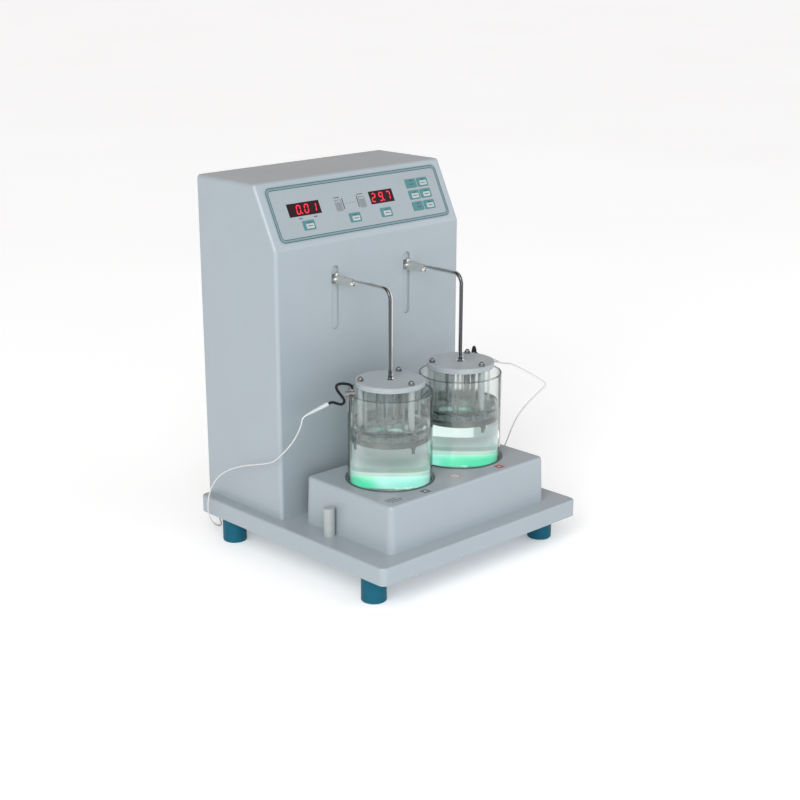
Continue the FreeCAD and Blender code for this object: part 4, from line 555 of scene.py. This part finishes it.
def cord_mesh(name, points, diameter, material):
    """A cord as a mesh, with the line that it follows."""
    thing = spline_object(name + "_curve", points, diameter)
    line = centreline(thing)
    bpy.context.view_layer.update()
    mesh = bpy.data.meshes.new_from_object(thing.evaluated_get(bpy.context.evaluated_depsgraph_get()))
    bpy.data.objects.remove(thing)
    mesh.materials.clear()
    mesh.materials.append(MATERIALS[material])
    for polygon in mesh.polygons:
        polygon.use_smooth = True
    cord = bpy.data.objects.new(name, mesh)
    bpy.context.scene.collection.objects.link(cord)
    return cord, line


def add_cords():
    """The black leads with their clear sleeves, and the thin cables to the plugs behind the tower."""
    for name in SIDES:
        start = Vector(SLEEVE_START[name])
        run = Vector(SLEEVE_RUN[name]).normalized()
        end = start + run * SLEEVE_LENGTH[name]
        gland = radial(name, GLAND_RADIUS, GLAND_TOP)
        lead_points = [gland] + [radial(name, radius, height) for radius, height in LEAD_LOOPS[name]]
        lead_points += [start - run * LEAD_END_RUN, start]
        lead, line = cord_mesh("lead_" + name, lead_points, LEAD_DIAMETER, "black_rubber")
        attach(lead, "vessel_" + name)
        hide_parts("probe_lead_" + name)
        sleeve = add_sleeve(name, start, run)
        plug_end = Vector(PLUG_END[name])
        cable_points = [end, end + run * CABLE_END_RUN] + [Vector(p) for p in CABLE_HANGING[name]]
        cable_points += [plug_end + Vector((0, CABLE_END_RUN, 0)), plug_end]
        cable, line = cord_mesh("cable_" + name, cable_points, CABLE_DIAMETER, "pale_cable")
        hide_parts("probe_cable_" + name)
        plug = add_plug(name, plug_end)
        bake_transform(cable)


def add_sleeve(name, start, run):
    """The clear tapered sleeve, turned along its own run."""
    length = SLEEVE_LENGTH[name]
    wide, narrow = (d / 2 for d in SLEEVE_DIAMETERS)
    profile = [(0, 0), (wide * 0.9, 0), (wide, length * 0.03), (wide, length * 0.2), (narrow, length * 0.97),
               (narrow * 0.9, length), (0, length)]
    mesh = lathe(profile, segments=32, closed=False)
    turn = Vector((0, 0, 1)).rotation_difference(run).to_matrix().to_4x4()
    mesh.transform(Matrix.Translation(start) @ turn)
    return piece("sleeve_" + name, mesh, "sleeve", "vessel_" + name)


def add_plug(name, end):
    """The round plug behind the tower, with grip rings and a short strain relief."""
    length, radius = 0.016, 0.004
    profile = [(0, 0), (radius, 0)]
    for i in range(5):
        z = 0.003 + i * 0.0016
        profile += [(radius, z), (radius - 0.0004, z + 0.0004), (radius - 0.0004, z + 0.0010), (radius, z + 0.0014)]
    profile += [(radius, length * 0.75), (radius * 0.5, length * 0.85), (radius * 0.4, length), (0, length)]
    mesh = lathe(profile, segments=40, closed=False)
    turn = Matrix.Rotation(math.radians(-90), 4, "X")
    mesh.transform(Matrix.Translation(end - Vector((0, length, 0))) @ turn)
    return piece("plug_" + name, mesh, "black_plastic", "base")


def geometry_tree(name, sizes):
    """An empty geometry tree with named sizes and its output."""
    tree = bpy.data.node_groups.new(name, "GeometryNodeTree")
    tree.interface.new_socket("Geometry", in_out="OUTPUT", socket_type="NodeSocketGeometry")
    for label, kind, value in sizes:
        socket = tree.interface.new_socket(label, in_out="INPUT", socket_type=kind)
        if value is not None:
            socket.default_value = value
    return tree, tree.nodes.new("NodeGroupInput"), tree.nodes.new("NodeGroupOutput")


def grown(tree, values, material):
    """The mesh that a geometry tree makes with these sizes."""
    holder = bpy.data.objects.new("holder", bpy.data.meshes.new("holder"))
    bpy.context.scene.collection.objects.link(holder)
    modifier = holder.modifiers.new("grow", "NODES")
    modifier.node_group = tree
    for item in tree.interface.items_tree:
        if item.item_type == "SOCKET" and item.in_out == "INPUT" and item.name in values:
            modifier[item.identifier] = values[item.name]
        if item.item_type == "SOCKET" and item.in_out == "INPUT" and item.name == "Finish":
            modifier[item.identifier] = MATERIALS[material]
    holder.update_tag()
    bpy.context.view_layer.update()
    mesh = bpy.data.meshes.new_from_object(holder.evaluated_get(bpy.context.evaluated_depsgraph_get()))
    holder.modifiers.remove(modifier)
    bpy.data.objects.remove(holder)
    return mesh


def math_node(tree, operation, first, second=None):
    """One step of arithmetic on sockets or numbers."""
    node = tree.nodes.new("ShaderNodeMath")
    node.operation = operation
    for socket, value in zip(node.inputs, (first, second)):
        if value is None:
            continue
        if isinstance(value, (int, float)):
            socket.default_value = value
        else:
            tree.links.new(value, socket)
    return node.outputs[0]


def ring_tree():
    """A tree that stands copies of one mesh evenly round the axis."""
    tree, inside, outside = geometry_tree("ring_of_copies", [
        ("Copies", "NodeSocketInt", 6), ("Ring radius", "NodeSocketFloat", 0.02), ("Model", "NodeSocketObject", None),
        ("Finish", "NodeSocketMaterial", None)])
    circle = tree.nodes.new("GeometryNodeMeshCircle")
    tree.links.new(inside.outputs["Copies"], circle.inputs["Vertices"])
    tree.links.new(inside.outputs["Ring radius"], circle.inputs["Radius"])
    model = tree.nodes.new("GeometryNodeObjectInfo")
    tree.links.new(inside.outputs["Model"], model.inputs["Object"])
    stand = tree.nodes.new("GeometryNodeInstanceOnPoints")
    tree.links.new(circle.outputs["Mesh"], stand.inputs["Points"])
    tree.links.new(model.outputs["Geometry"], stand.inputs["Instance"])
    finish(tree, stand.outputs["Instances"], inside, outside)
    return tree


def finish(tree, geometry, inside, outside):
    """Realizes the copies and gives them their finish."""
    real = tree.nodes.new("GeometryNodeRealizeInstances")
    paint = tree.nodes.new("GeometryNodeSetMaterial")
    tree.links.new(geometry, real.inputs["Geometry"])
    tree.links.new(real.outputs["Geometry"], paint.inputs["Geometry"])
    tree.links.new(inside.outputs["Finish"], paint.inputs["Material"])
    tree.links.new(paint.outputs["Geometry"], outside.inputs["Geometry"])


def cloth_tree():
    """A tree that lays two crossing sets of wires over a disc, each cut to the disc's edge."""
    tree, inside, outside = geometry_tree("wire_cloth", [
        ("Disc radius", "NodeSocketFloat", 0.04), ("Pitch", "NodeSocketFloat", 0.0024),
        ("Wire", "NodeSocketFloat", 0.0005), ("Finish", "NodeSocketMaterial", None)])
    radius, pitch, wire = (inside.outputs[n] for n in ("Disc radius", "Pitch", "Wire"))
    steps = math_node(tree, "FLOOR", math_node(tree, "DIVIDE", radius, pitch))
    count = math_node(tree, "ADD", math_node(tree, "MULTIPLY", steps, 2), 1)
    first = math_node(tree, "MULTIPLY", math_node(tree, "MULTIPLY", steps, pitch), -1)
    start = tree.nodes.new("ShaderNodeCombineXYZ")
    step = tree.nodes.new("ShaderNodeCombineXYZ")
    tree.links.new(first, start.inputs["Y"])
    tree.links.new(pitch, step.inputs["Y"])
    row = tree.nodes.new("GeometryNodeMeshLine")
    tree.links.new(count, row.inputs["Count"])
    tree.links.new(start.outputs[0], row.inputs["Start Location"])
    tree.links.new(step.outputs[0], row.inputs["Offset"])
    place = tree.nodes.new("GeometryNodeInputPosition")
    apart = tree.nodes.new("ShaderNodeSeparateXYZ")
    tree.links.new(place.outputs[0], apart.inputs[0])
    square = math_node(tree, "SUBTRACT", math_node(tree, "MULTIPLY", radius, radius),
                       math_node(tree, "MULTIPLY", apart.outputs["Y"], apart.outputs["Y"]))
    half = math_node(tree, "SQRT", math_node(tree, "MAXIMUM", square, 1e-8))
    size = tree.nodes.new("ShaderNodeCombineXYZ")
    tree.links.new(half, size.inputs["X"])
    size.inputs["Y"].default_value = 1
    size.inputs["Z"].default_value = 1
    line = tree.nodes.new("GeometryNodeCurvePrimitiveLine")
    line.inputs["Start"].default_value = (-1, 0, 0)
    line.inputs["End"].default_value = (1, 0, 0)
    lay = tree.nodes.new("GeometryNodeInstanceOnPoints")
    tree.links.new(row.outputs["Mesh"], lay.inputs["Points"])
    tree.links.new(line.outputs["Curve"], lay.inputs["Instance"])
    tree.links.new(size.outputs[0], lay.inputs["Scale"])
    real = tree.nodes.new("GeometryNodeRealizeInstances")
    tree.links.new(lay.outputs["Instances"], real.inputs["Geometry"])
    section = tree.nodes.new("GeometryNodeCurvePrimitiveCircle")
    section.inputs["Resolution"].default_value = 6
    tree.links.new(math_node(tree, "MULTIPLY", wire, 0.5), section.inputs["Radius"])
    solid = tree.nodes.new("GeometryNodeCurveToMesh")
    tree.links.new(real.outputs["Geometry"], solid.inputs["Curve"])
    tree.links.new(section.outputs["Curve"], solid.inputs["Profile Curve"])
    crossing = tree.nodes.new("GeometryNodeTransform")
    crossing.inputs["Rotation"].default_value = (0, 0, math.pi / 2)
    above = tree.nodes.new("ShaderNodeCombineXYZ")
    tree.links.new(math_node(tree, "MULTIPLY", wire, 0.8), above.inputs["Z"])
    tree.links.new(above.outputs[0], crossing.inputs["Translation"])
    tree.links.new(solid.outputs["Mesh"], crossing.inputs["Geometry"])
    both = tree.nodes.new("GeometryNodeJoinGeometry")
    tree.links.new(solid.outputs["Mesh"], both.inputs["Geometry"])
    tree.links.new(crossing.outputs["Geometry"], both.inputs["Geometry"])
    finish(tree, both.outputs["Geometry"], inside, outside)
    return tree


def add_baskets():
    """The tubes, the steel band and the wire cloth of each basket."""
    ring = ring_tree()
    cloth = cloth_tree()
    outer = TUBE_OUTER / 2
    inner = outer - TUBE_WALL
    rim = TUBE_WALL / 2
    profile = arc((outer - rim, TUBE_BOTTOM + rim), rim, -180, 0, 6) + arc((outer - rim, TUBE_TOP - rim), rim, 0, 180, 6)
    tube = bpy.data.objects.new("tube_model", lathe(profile, segments=48))
    bpy.context.scene.collection.objects.link(tube)
    wire = 0.0005
    band_wall = 0.0022
    band = [(DISC_RADIUS - band_wall, CLOTH_BOTTOM), (DISC_RADIUS, CLOTH_BOTTOM), (DISC_RADIUS, BAND_TOP),
            (DISC_RADIUS - band_wall, BAND_TOP)]
    for name, side in SIDES.items():
        centre = Matrix.Translation((side * STATION_X, STATION_Y, 0))
        tubes = grown(ring, {"Copies": TUBE_COUNT, "Ring radius": TUBE_CIRCLE, "Model": tube}, "glass")
        tubes.transform(centre)
        thing = piece("tubes_" + name, tubes, "tube_glass", "basket_" + name)
        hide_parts("basket_tubes_" + name)
        band_mesh = lathe(band, segments=128)
        band_mesh.transform(centre)
        thing = piece("screen_band_" + name, band_mesh, "band_steel", "basket_" + name)
        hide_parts("basket_screen_" + name)
        weave = grown(cloth, {"Disc radius": DISC_RADIUS - band_wall / 2, "Pitch": 0.0024, "Wire": wire}, "wire_cloth")
        weave.transform(centre @ Matrix.Translation((0, 0, CLOTH_BOTTOM + wire / 2)))
        piece("screen_cloth_" + name, weave, "wire_cloth", "basket_" + name)
    bpy.data.objects.remove(tube)


def droplet_tree():
    """A tree that scatters flattened droplets over the faces of a tube wall."""
    tree, inside, outside = geometry_tree("droplets", [
        ("Wall", "NodeSocketObject", None), ("Density", "NodeSocketFloat", 8000.0), ("Seed", "NodeSocketInt", 3),
        ("Smallest", "NodeSocketFloat", 0.0004), ("Largest", "NodeSocketFloat", 0.0016),
        ("Finish", "NodeSocketMaterial", None)])
    wall = tree.nodes.new("GeometryNodeObjectInfo")
    tree.links.new(inside.outputs["Wall"], wall.inputs["Object"])
    strew = tree.nodes.new("GeometryNodeDistributePointsOnFaces")
    tree.links.new(wall.outputs["Geometry"], strew.inputs["Mesh"])
    tree.links.new(inside.outputs["Density"], strew.inputs["Density"])
    tree.links.new(inside.outputs["Seed"], strew.inputs["Seed"])
    bead = tree.nodes.new("GeometryNodeMeshIcoSphere")
    bead.inputs["Radius"].default_value = 1.0
    bead.inputs["Subdivisions"].default_value = 1
    size = tree.nodes.new("FunctionNodeRandomValue")
    tree.links.new(inside.outputs["Smallest"], size.inputs[2])
    tree.links.new(inside.outputs["Largest"], size.inputs[3])
    tree.links.new(inside.outputs["Seed"], size.inputs["Seed"])
    flat = tree.nodes.new("ShaderNodeCombineXYZ")
    tree.links.new(size.outputs[1], flat.inputs["X"])
    tree.links.new(size.outputs[1], flat.inputs["Y"])
    tree.links.new(math_node(tree, "MULTIPLY", size.outputs[1], 0.5), flat.inputs["Z"])
    lay = tree.nodes.new("GeometryNodeInstanceOnPoints")
    tree.links.new(strew.outputs["Points"], lay.inputs["Points"])
    tree.links.new(bead.outputs["Mesh"], lay.inputs["Instance"])
    tree.links.new(strew.outputs["Rotation"], lay.inputs["Rotation"])
    tree.links.new(flat.outputs[0], lay.inputs["Scale"])
    finish(tree, lay.outputs["Instances"], inside, outside)
    return tree


def add_droplets():
    """Splashed droplets on the insides of the tubes, above the water."""
    tree = droplet_tree()
    inner = TUBE_OUTER / 2 - TUBE_WALL - 0.0001
    for name, side in SIDES.items():
        walls = bmesh.new()
        for i in range(TUBE_COUNT):
            angle = 2 * math.pi * i / TUBE_COUNT
            centre = (side * STATION_X + TUBE_CIRCLE * math.cos(angle), STATION_Y + TUBE_CIRCLE * math.sin(angle), 0)
            part = lathe([(inner, WATER_LEVEL + 0.0012), (inner, WATER_LEVEL + 0.011)], centre, 24, closed=False)
            walls.from_mesh(part)
        mesh = bpy.data.meshes.new("walls")
        walls.to_mesh(mesh)
        walls.free()
        wall = bpy.data.objects.new("wall_model", mesh)
        bpy.context.scene.collection.objects.link(wall)
        drops = grown(tree, {"Wall": wall, "Seed": 5 + side, "Density": 9000.0}, "droplet")
        bpy.data.objects.remove(wall)
        piece("droplets_" + name, drops, "droplet", "basket_" + name, math.radians(180))


def on_panel(across, up, out):
    """A point on the slope, from its place across and up it and its height over it."""
    return SLOPE_FOOT + Vector((across, 0, 0)) + SLOPE_UP * up + SLOPE_OUT * out


def rounded_outline(across, up, width, height, corner, steps=6):
    """The points round a rounded rectangle."""
    points = []
    for sx, sy, first in ((1, 1, 0), (-1, 1, 90), (-1, -1, 180), (1, -1, 270)):
        cx = across + sx * (width / 2 - corner)
        cy = up + sy * (height / 2 - corner)
        for i in range(steps + 1):
            angle = math.radians(first + 90 * i / steps)
            points.append((cx + corner * math.cos(angle), cy + corner * math.sin(angle)))
    return points


def flat_mesh(outlines, out, rings=()):
    """Printed shapes: filled outlines and lines between two outlines, at a height over the slope."""
    mesh = bpy.data.meshes.new("print")
    work = bmesh.new()
    for outline in outlines:
        work.faces.new([work.verts.new(on_panel(x, y, out)) for x, y in outline])
    for outer, inner in rings:
        a = [work.verts.new(on_panel(x, y, out)) for x, y in outer]
        b = [work.verts.new(on_panel(x, y, out)) for x, y in inner]
        for i in range(len(a)):
            j = (i + 1) % len(a)
            work.faces.new((a[i], a[j], b[j], b[i]))
    work.to_mesh(mesh)
    work.free()
    return mesh


def frame_line(across, up, width, height, corner, line):
    """The outer and inner outline of a printed frame."""
    return (rounded_outline(across, up, width, height, corner),
            rounded_outline(across, up, width - 2 * line, height - 2 * line, corner - line))


def box_outline(x0, x1, y0, y1):
    """A plain rectangle's points."""
    return [(x1, y1), (x0, y1), (x0, y0), (x1, y0)]


FILM_CENTRE = 0.0437
FILM_SIZE = (0.297, 0.074)


def add_panel_print():
    """The printed frames, the two vessel symbols, the joining line and the small dashes by the displays."""
    width, height = FILM_SIZE
    out = FILM_FACE + PRINT_LIFT
    outer = frame_line(0, FILM_CENTRE, width - 0.0024, height - 0.0024, 0.0078, 0.0013)
    inner = frame_line(0, FILM_CENTRE, width - 0.0088, height - 0.0088, 0.0054, 0.0012)
    piece("panel_frame_lines", flat_mesh([], out, [outer, inner]), "print", "base")
    band = frame_line(0, FILM_CENTRE, width - 0.0054, height - 0.0054, 0.0065, 0.0014)
    piece("panel_frame_band", flat_mesh([], out, [band]), "print_pale", "base")
    rings, fills = [], []
    for across in (-0.0379, 0.0025):
        rings.append(frame_line(across, 0.0445, 0.0106, 0.0146, 0.0014, 0.0006))
        fills.append(rounded_outline(across, 0.0435, 0.0082, 0.0104, 0.0008, 2))
    bars = [box_outline(x - 0.0007, x + 0.0007, 0.0385, 0.0535) for x in (-0.0300, -0.0049)]
    for across in (-0.0379, 0.0025):
        bars.append(box_outline(across - 0.006, across + 0.004, 0.0545, 0.0555))
    bars += [box_outline(x, x + 0.0016, 0.0455, 0.0461) for x in (-0.0265, -0.0225, -0.0185, -0.0145, -0.0105)]
    for x in (-0.108, -0.0835):
        bars.append(box_outline(x, x + 0.006, 0.0350, 0.0362))
    piece("panel_symbols", flat_mesh(bars, out, rings), "print_grey", "base")
    piece("panel_symbol_fills", flat_mesh(fills, out), "print_fill", "base")


def add_key_print():
    """Short dashes on each key, and a pale field on every key but the first and fifth pads, in place of its wording."""
    out = KEY_FACE + PRINT_LIFT
    for name, node in frame["nodes"].items():
        if not name.startswith("key_"):
            continue
        middle = sum((node.matrix_world @ Vector(c) for c in node.bound_box), Vector()) / 8 - SLOPE_FOOT
        across, up = middle.x, middle.dot(SLOPE_UP)
        pale = [rounded_outline(across + 0.001, up - 0.0012, 0.0125, 0.0062, 0.0008, 2)]
        dashes = [box_outline(across - 0.003, across + 0.005, up - 0.0016, up - 0.0006),
                  box_outline(across - 0.0015, across + 0.0035, up + 0.0030, up + 0.0040)]
        body = name
        if name in ("key_pad_1", "key_pad_5"):
            pale = []
        if pale:
            piece("field_" + name, flat_mesh(pale, out), "print_white", body)
        piece("dashes_" + name, flat_mesh(dashes, out + PRINT_LIFT), "print_grey", body)


SEGMENTS = {"0": "abcdef", "1": "bc", "2": "abged", "7": "abc", "9": "abcdfg"}


def segment_outline(letter, thick, width, height):
    """One bar of a seven-bar digit, as an outline in its own cell."""
    half = thick / 2
    mid = height / 2
    spans = {"a": ((half, height - half), (width - half, height - half)), "d": ((half, half), (width - half, half)),
             "g": ((half, mid), (width - half, mid)), "b": ((width - half, mid), (width - half, height - half)),
             "c": ((width - half, half), (width - half, mid)), "e": ((half, half), (half, mid)),
             "f": ((half, mid), (half, height - half))}
    (x0, y0), (x1, y1) = spans[letter]
    gap = thick * 0.12
    if y0 == y1:
        x0, x1 = x0 + gap, x1 - gap
        return [(x1, y0), (x1 - half, y0 + half), (x0 + half, y0 + half), (x0, y0), (x0 + half, y0 - half),
                (x1 - half, y0 - half)]
    y0, y1 = y0 + gap, y1 - gap
    return [(x0, y1), (x0 - half, y1 - half), (x0 - half, y0 + half), (x0, y0), (x0 + half, y0 + half),
            (x0 + half, y1 - half)]


def add_digits(name, text, across, up, height):
    """Lit digits on a window, leaning a little."""
    width, thick, step, lean = height * 0.60, height * 0.13, height * 1.06, 0.14
    outlines = []
    x = across
    for character in text:
        if character == ".":
            x0 = x - step + width + thick * 0.35
            outlines.append([(px + lean * (py - up), py) for px, py in
                             box_outline(x0, x0 + thick * 1.1, up, up + thick * 1.1)])
            continue
        for letter in SEGMENTS[character]:
            shape = segment_outline(letter, thick, width, height)
            outlines.append([(x + px + lean * py, up + py) for px, py in shape])
        x += step
    piece("digits_" + name, flat_mesh(outlines, FILM_FACE + PRINT_LIFT), "digits", "base")


def add_displays():
    """The two readings."""
    add_digits("time", "0.01", -0.1085, 0.0412, 0.0122)
    add_digits("temperature", "29.7", 0.0190, 0.0412, 0.0122)


def plate_mesh(x, y, width, depth, shear=0.0):
    """A thin flat mark on the deck."""
    mesh = bpy.data.meshes.new("mark")
    work = bmesh.new()
    bmesh.ops.create_cube(work, size=1, matrix=Matrix.Translation((x, y, DECK_TOP + MARK_LIFT / 2)) @
                          Matrix.Diagonal((width, depth, MARK_LIFT, 1)))
    for vertex in work.verts:
        vertex.co.x += shear * (vertex.co.y - y)
    work.to_mesh(mesh)
    work.free()
    return mesh


def merged(meshes):
    """Several meshes as one."""
    work = bmesh.new()
    for mesh in meshes:
        work.from_mesh(mesh)
    whole = bpy.data.meshes.new("merged")
    work.to_mesh(whole)
    work.free()
    return whole


def add_deck_marks():
    """Plain marks stuck on the deck's front edge."""
    for name, x in (("dark", -0.068), ("red", 0.067)):
        piece("deck_mark_" + name, plate_mesh(x, -0.1405, 0.0105, 0.0105), "mark_" + name, "base")
        piece("deck_mark_centre_" + name, lathe([(0, DECK_TOP + MARK_LIFT * 2), (0.0021, DECK_TOP + MARK_LIFT * 2),
                                                 (0.0023, DECK_TOP + MARK_LIFT), (0, DECK_TOP + MARK_LIFT)],
                                                (x, -0.1405, 0), 24, closed=False), "mark_pale", "base")
    disc = lathe([(0, DECK_TOP + MARK_LIFT), (0.0075, DECK_TOP + MARK_LIFT), (0.0078, DECK_TOP), (0, DECK_TOP)],
                 (-0.001, -0.1265, 0), 48, closed=False)
    piece("deck_mark_round", disc, "mark_pale", "base")
    ring = lathe([(0.0070, DECK_TOP + MARK_LIFT), (0.0078, DECK_TOP + MARK_LIFT), (0.0078, DECK_TOP + 2 * MARK_LIFT),
                  (0.0070, DECK_TOP + 2 * MARK_LIFT)], (-0.001, -0.1265, 0), 48)
    piece("deck_mark_round_edge", ring, "mark_red", "base")
    rows = []
    for row, (first, count) in enumerate(((-0.1265, 3), (-0.1260, 4), (-0.1235, 3))):
        for i in range(count):
            rows.append(plate_mesh(first + i * 0.0060, -0.1320 - row * 0.0046, 0.0046, 0.0020))
    piece("deck_mark_dashes", merged(rows), "mark_dark", "base")


def paint_nodes():
    """Gives every CAD node its finish."""
    for entry in frame["record"]["subparts"]:
        node = frame["nodes"][entry["node"]]
        node.data.materials.clear()
        node.data.materials.append(MATERIALS[entry["material_slot"]])


def add_stage():
    """A pale floor under a soft sky that is brighter in front than behind."""
    mesh = bpy.data.meshes.new("floor")
    work = bmesh.new()
    bmesh.ops.create_grid(work, x_segments=1, y_segments=1, size=60)
    work.to_mesh(mesh)
    work.free()
    floor = bpy.data.objects.new("floor", mesh)
    paper = moulded("floor_paper", (0.86, 0.875, 0.89), 0.8, 0.01, 0.5)
    glow = next(node for node in paper.node_tree.nodes if node.type == "BSDF_PRINCIPLED")
    glow.inputs["Emission Color"].default_value = (0.95, 0.99, 1.0, 1)
    glow.inputs["Emission Strength"].default_value = 0.22
    mesh.materials.append(paper)
    bpy.context.scene.collection.objects.link(floor)
    world = bpy.data.worlds.new("studio")
    bpy.context.scene.world = world
    world.use_nodes = True
    tree = world.node_tree
    sky = tree.nodes["Background"]
    place = tree.nodes.new("ShaderNodeTexCoord")
    apart = tree.nodes.new("ShaderNodeSeparateXYZ")
    tree.links.new(place.outputs["Generated"], apart.inputs[0])
    front = spread(tree, apart.outputs["Y"], 1.0, 0.0, -0.4, 0.5)
    low = spread(tree, apart.outputs["Z"], 1.0, 0.0, 0.35, 0.95)
    colours = blend_colours(tree, math_node(tree, "MULTIPLY", front, low), (0.50, 0.45, 0.42), (1.0, 1.02, 1.05))
    tree.links.new(colours, sky.inputs["Color"])
    sky.inputs["Strength"].default_value = 1.0
    add_light("key", (-2.2, -1.2, 1.5), 22, 1.2, (1.0, 0.99, 0.97))
    add_light("fill", (2.0, -1.9, 1.1), 9, 1.6, (0.97, 0.99, 1.0))
    add_light("low", (-1.5, -2.3, 0.35), 13, 1.0, (1.0, 1.0, 1.0))
    sun = bpy.data.lights.new("sun", "SUN")
    sun.energy = 1.2
    sun.angle = math.radians(50)
    lamp = bpy.data.objects.new("sun", sun)
    lamp.rotation_euler = Vector((1.35, 0.85, -1.3)).to_track_quat("-Z", "Y").to_euler()
    bpy.context.scene.collection.objects.link(lamp)
    bpy.context.scene.view_settings.view_transform = "Standard"


def add_light(name, place, power, size, colour):
    """A soft square light that faces the object."""
    data = bpy.data.lights.new(name, "AREA")
    data.energy = power
    data.size = size
    data.color = colour
    light = bpy.data.objects.new(name, data)
    light.location = place
    light.rotation_euler = (Vector((0, 0, 0.2)) - Vector(place)).to_track_quat("-Z", "Y").to_euler()
    bpy.context.scene.collection.objects.link(light)


def add_camera():
    """The camera at the photograph's angle, its principal point set by the shift."""
    data = bpy.data.cameras.new("camera")
    data.sensor_width = SENSOR * 1000
    data.lens = FOCAL_PIXELS / IMAGE_SIZE * SENSOR * 1000
    data.shift_x = (IMAGE_SIZE / 2 - CENTRE_PIXELS[0]) / IMAGE_SIZE
    data.shift_y = (CENTRE_PIXELS[1] - IMAGE_SIZE / 2) / IMAGE_SIZE
    data.clip_start = 0.05
    data.clip_end = 50
    back = Vector((math.sin(CAMERA_AZIMUTH) * math.cos(CAMERA_ELEVATION),
                   -math.cos(CAMERA_AZIMUTH) * math.cos(CAMERA_ELEVATION), math.sin(CAMERA_ELEVATION)))
    camera = bpy.data.objects.new("camera", data)
    camera.matrix_world = (Matrix.Translation(CAMERA_TARGET + back * CAMERA_DISTANCE) @
                           back.to_track_quat("Z", "Y").to_matrix().to_4x4() @ Matrix.Rotation(CAMERA_ROLL, 4, "Z"))
    bpy.context.scene.collection.objects.link(camera)
    bpy.context.scene.camera = camera


MATERIALS = make_materials()
add_camera()
paint_nodes()
add_cords()
add_beakers()
add_water()
add_baskets()
add_droplets()
add_panel_print()
add_key_print()
add_displays()
add_deck_marks()
add_stage()
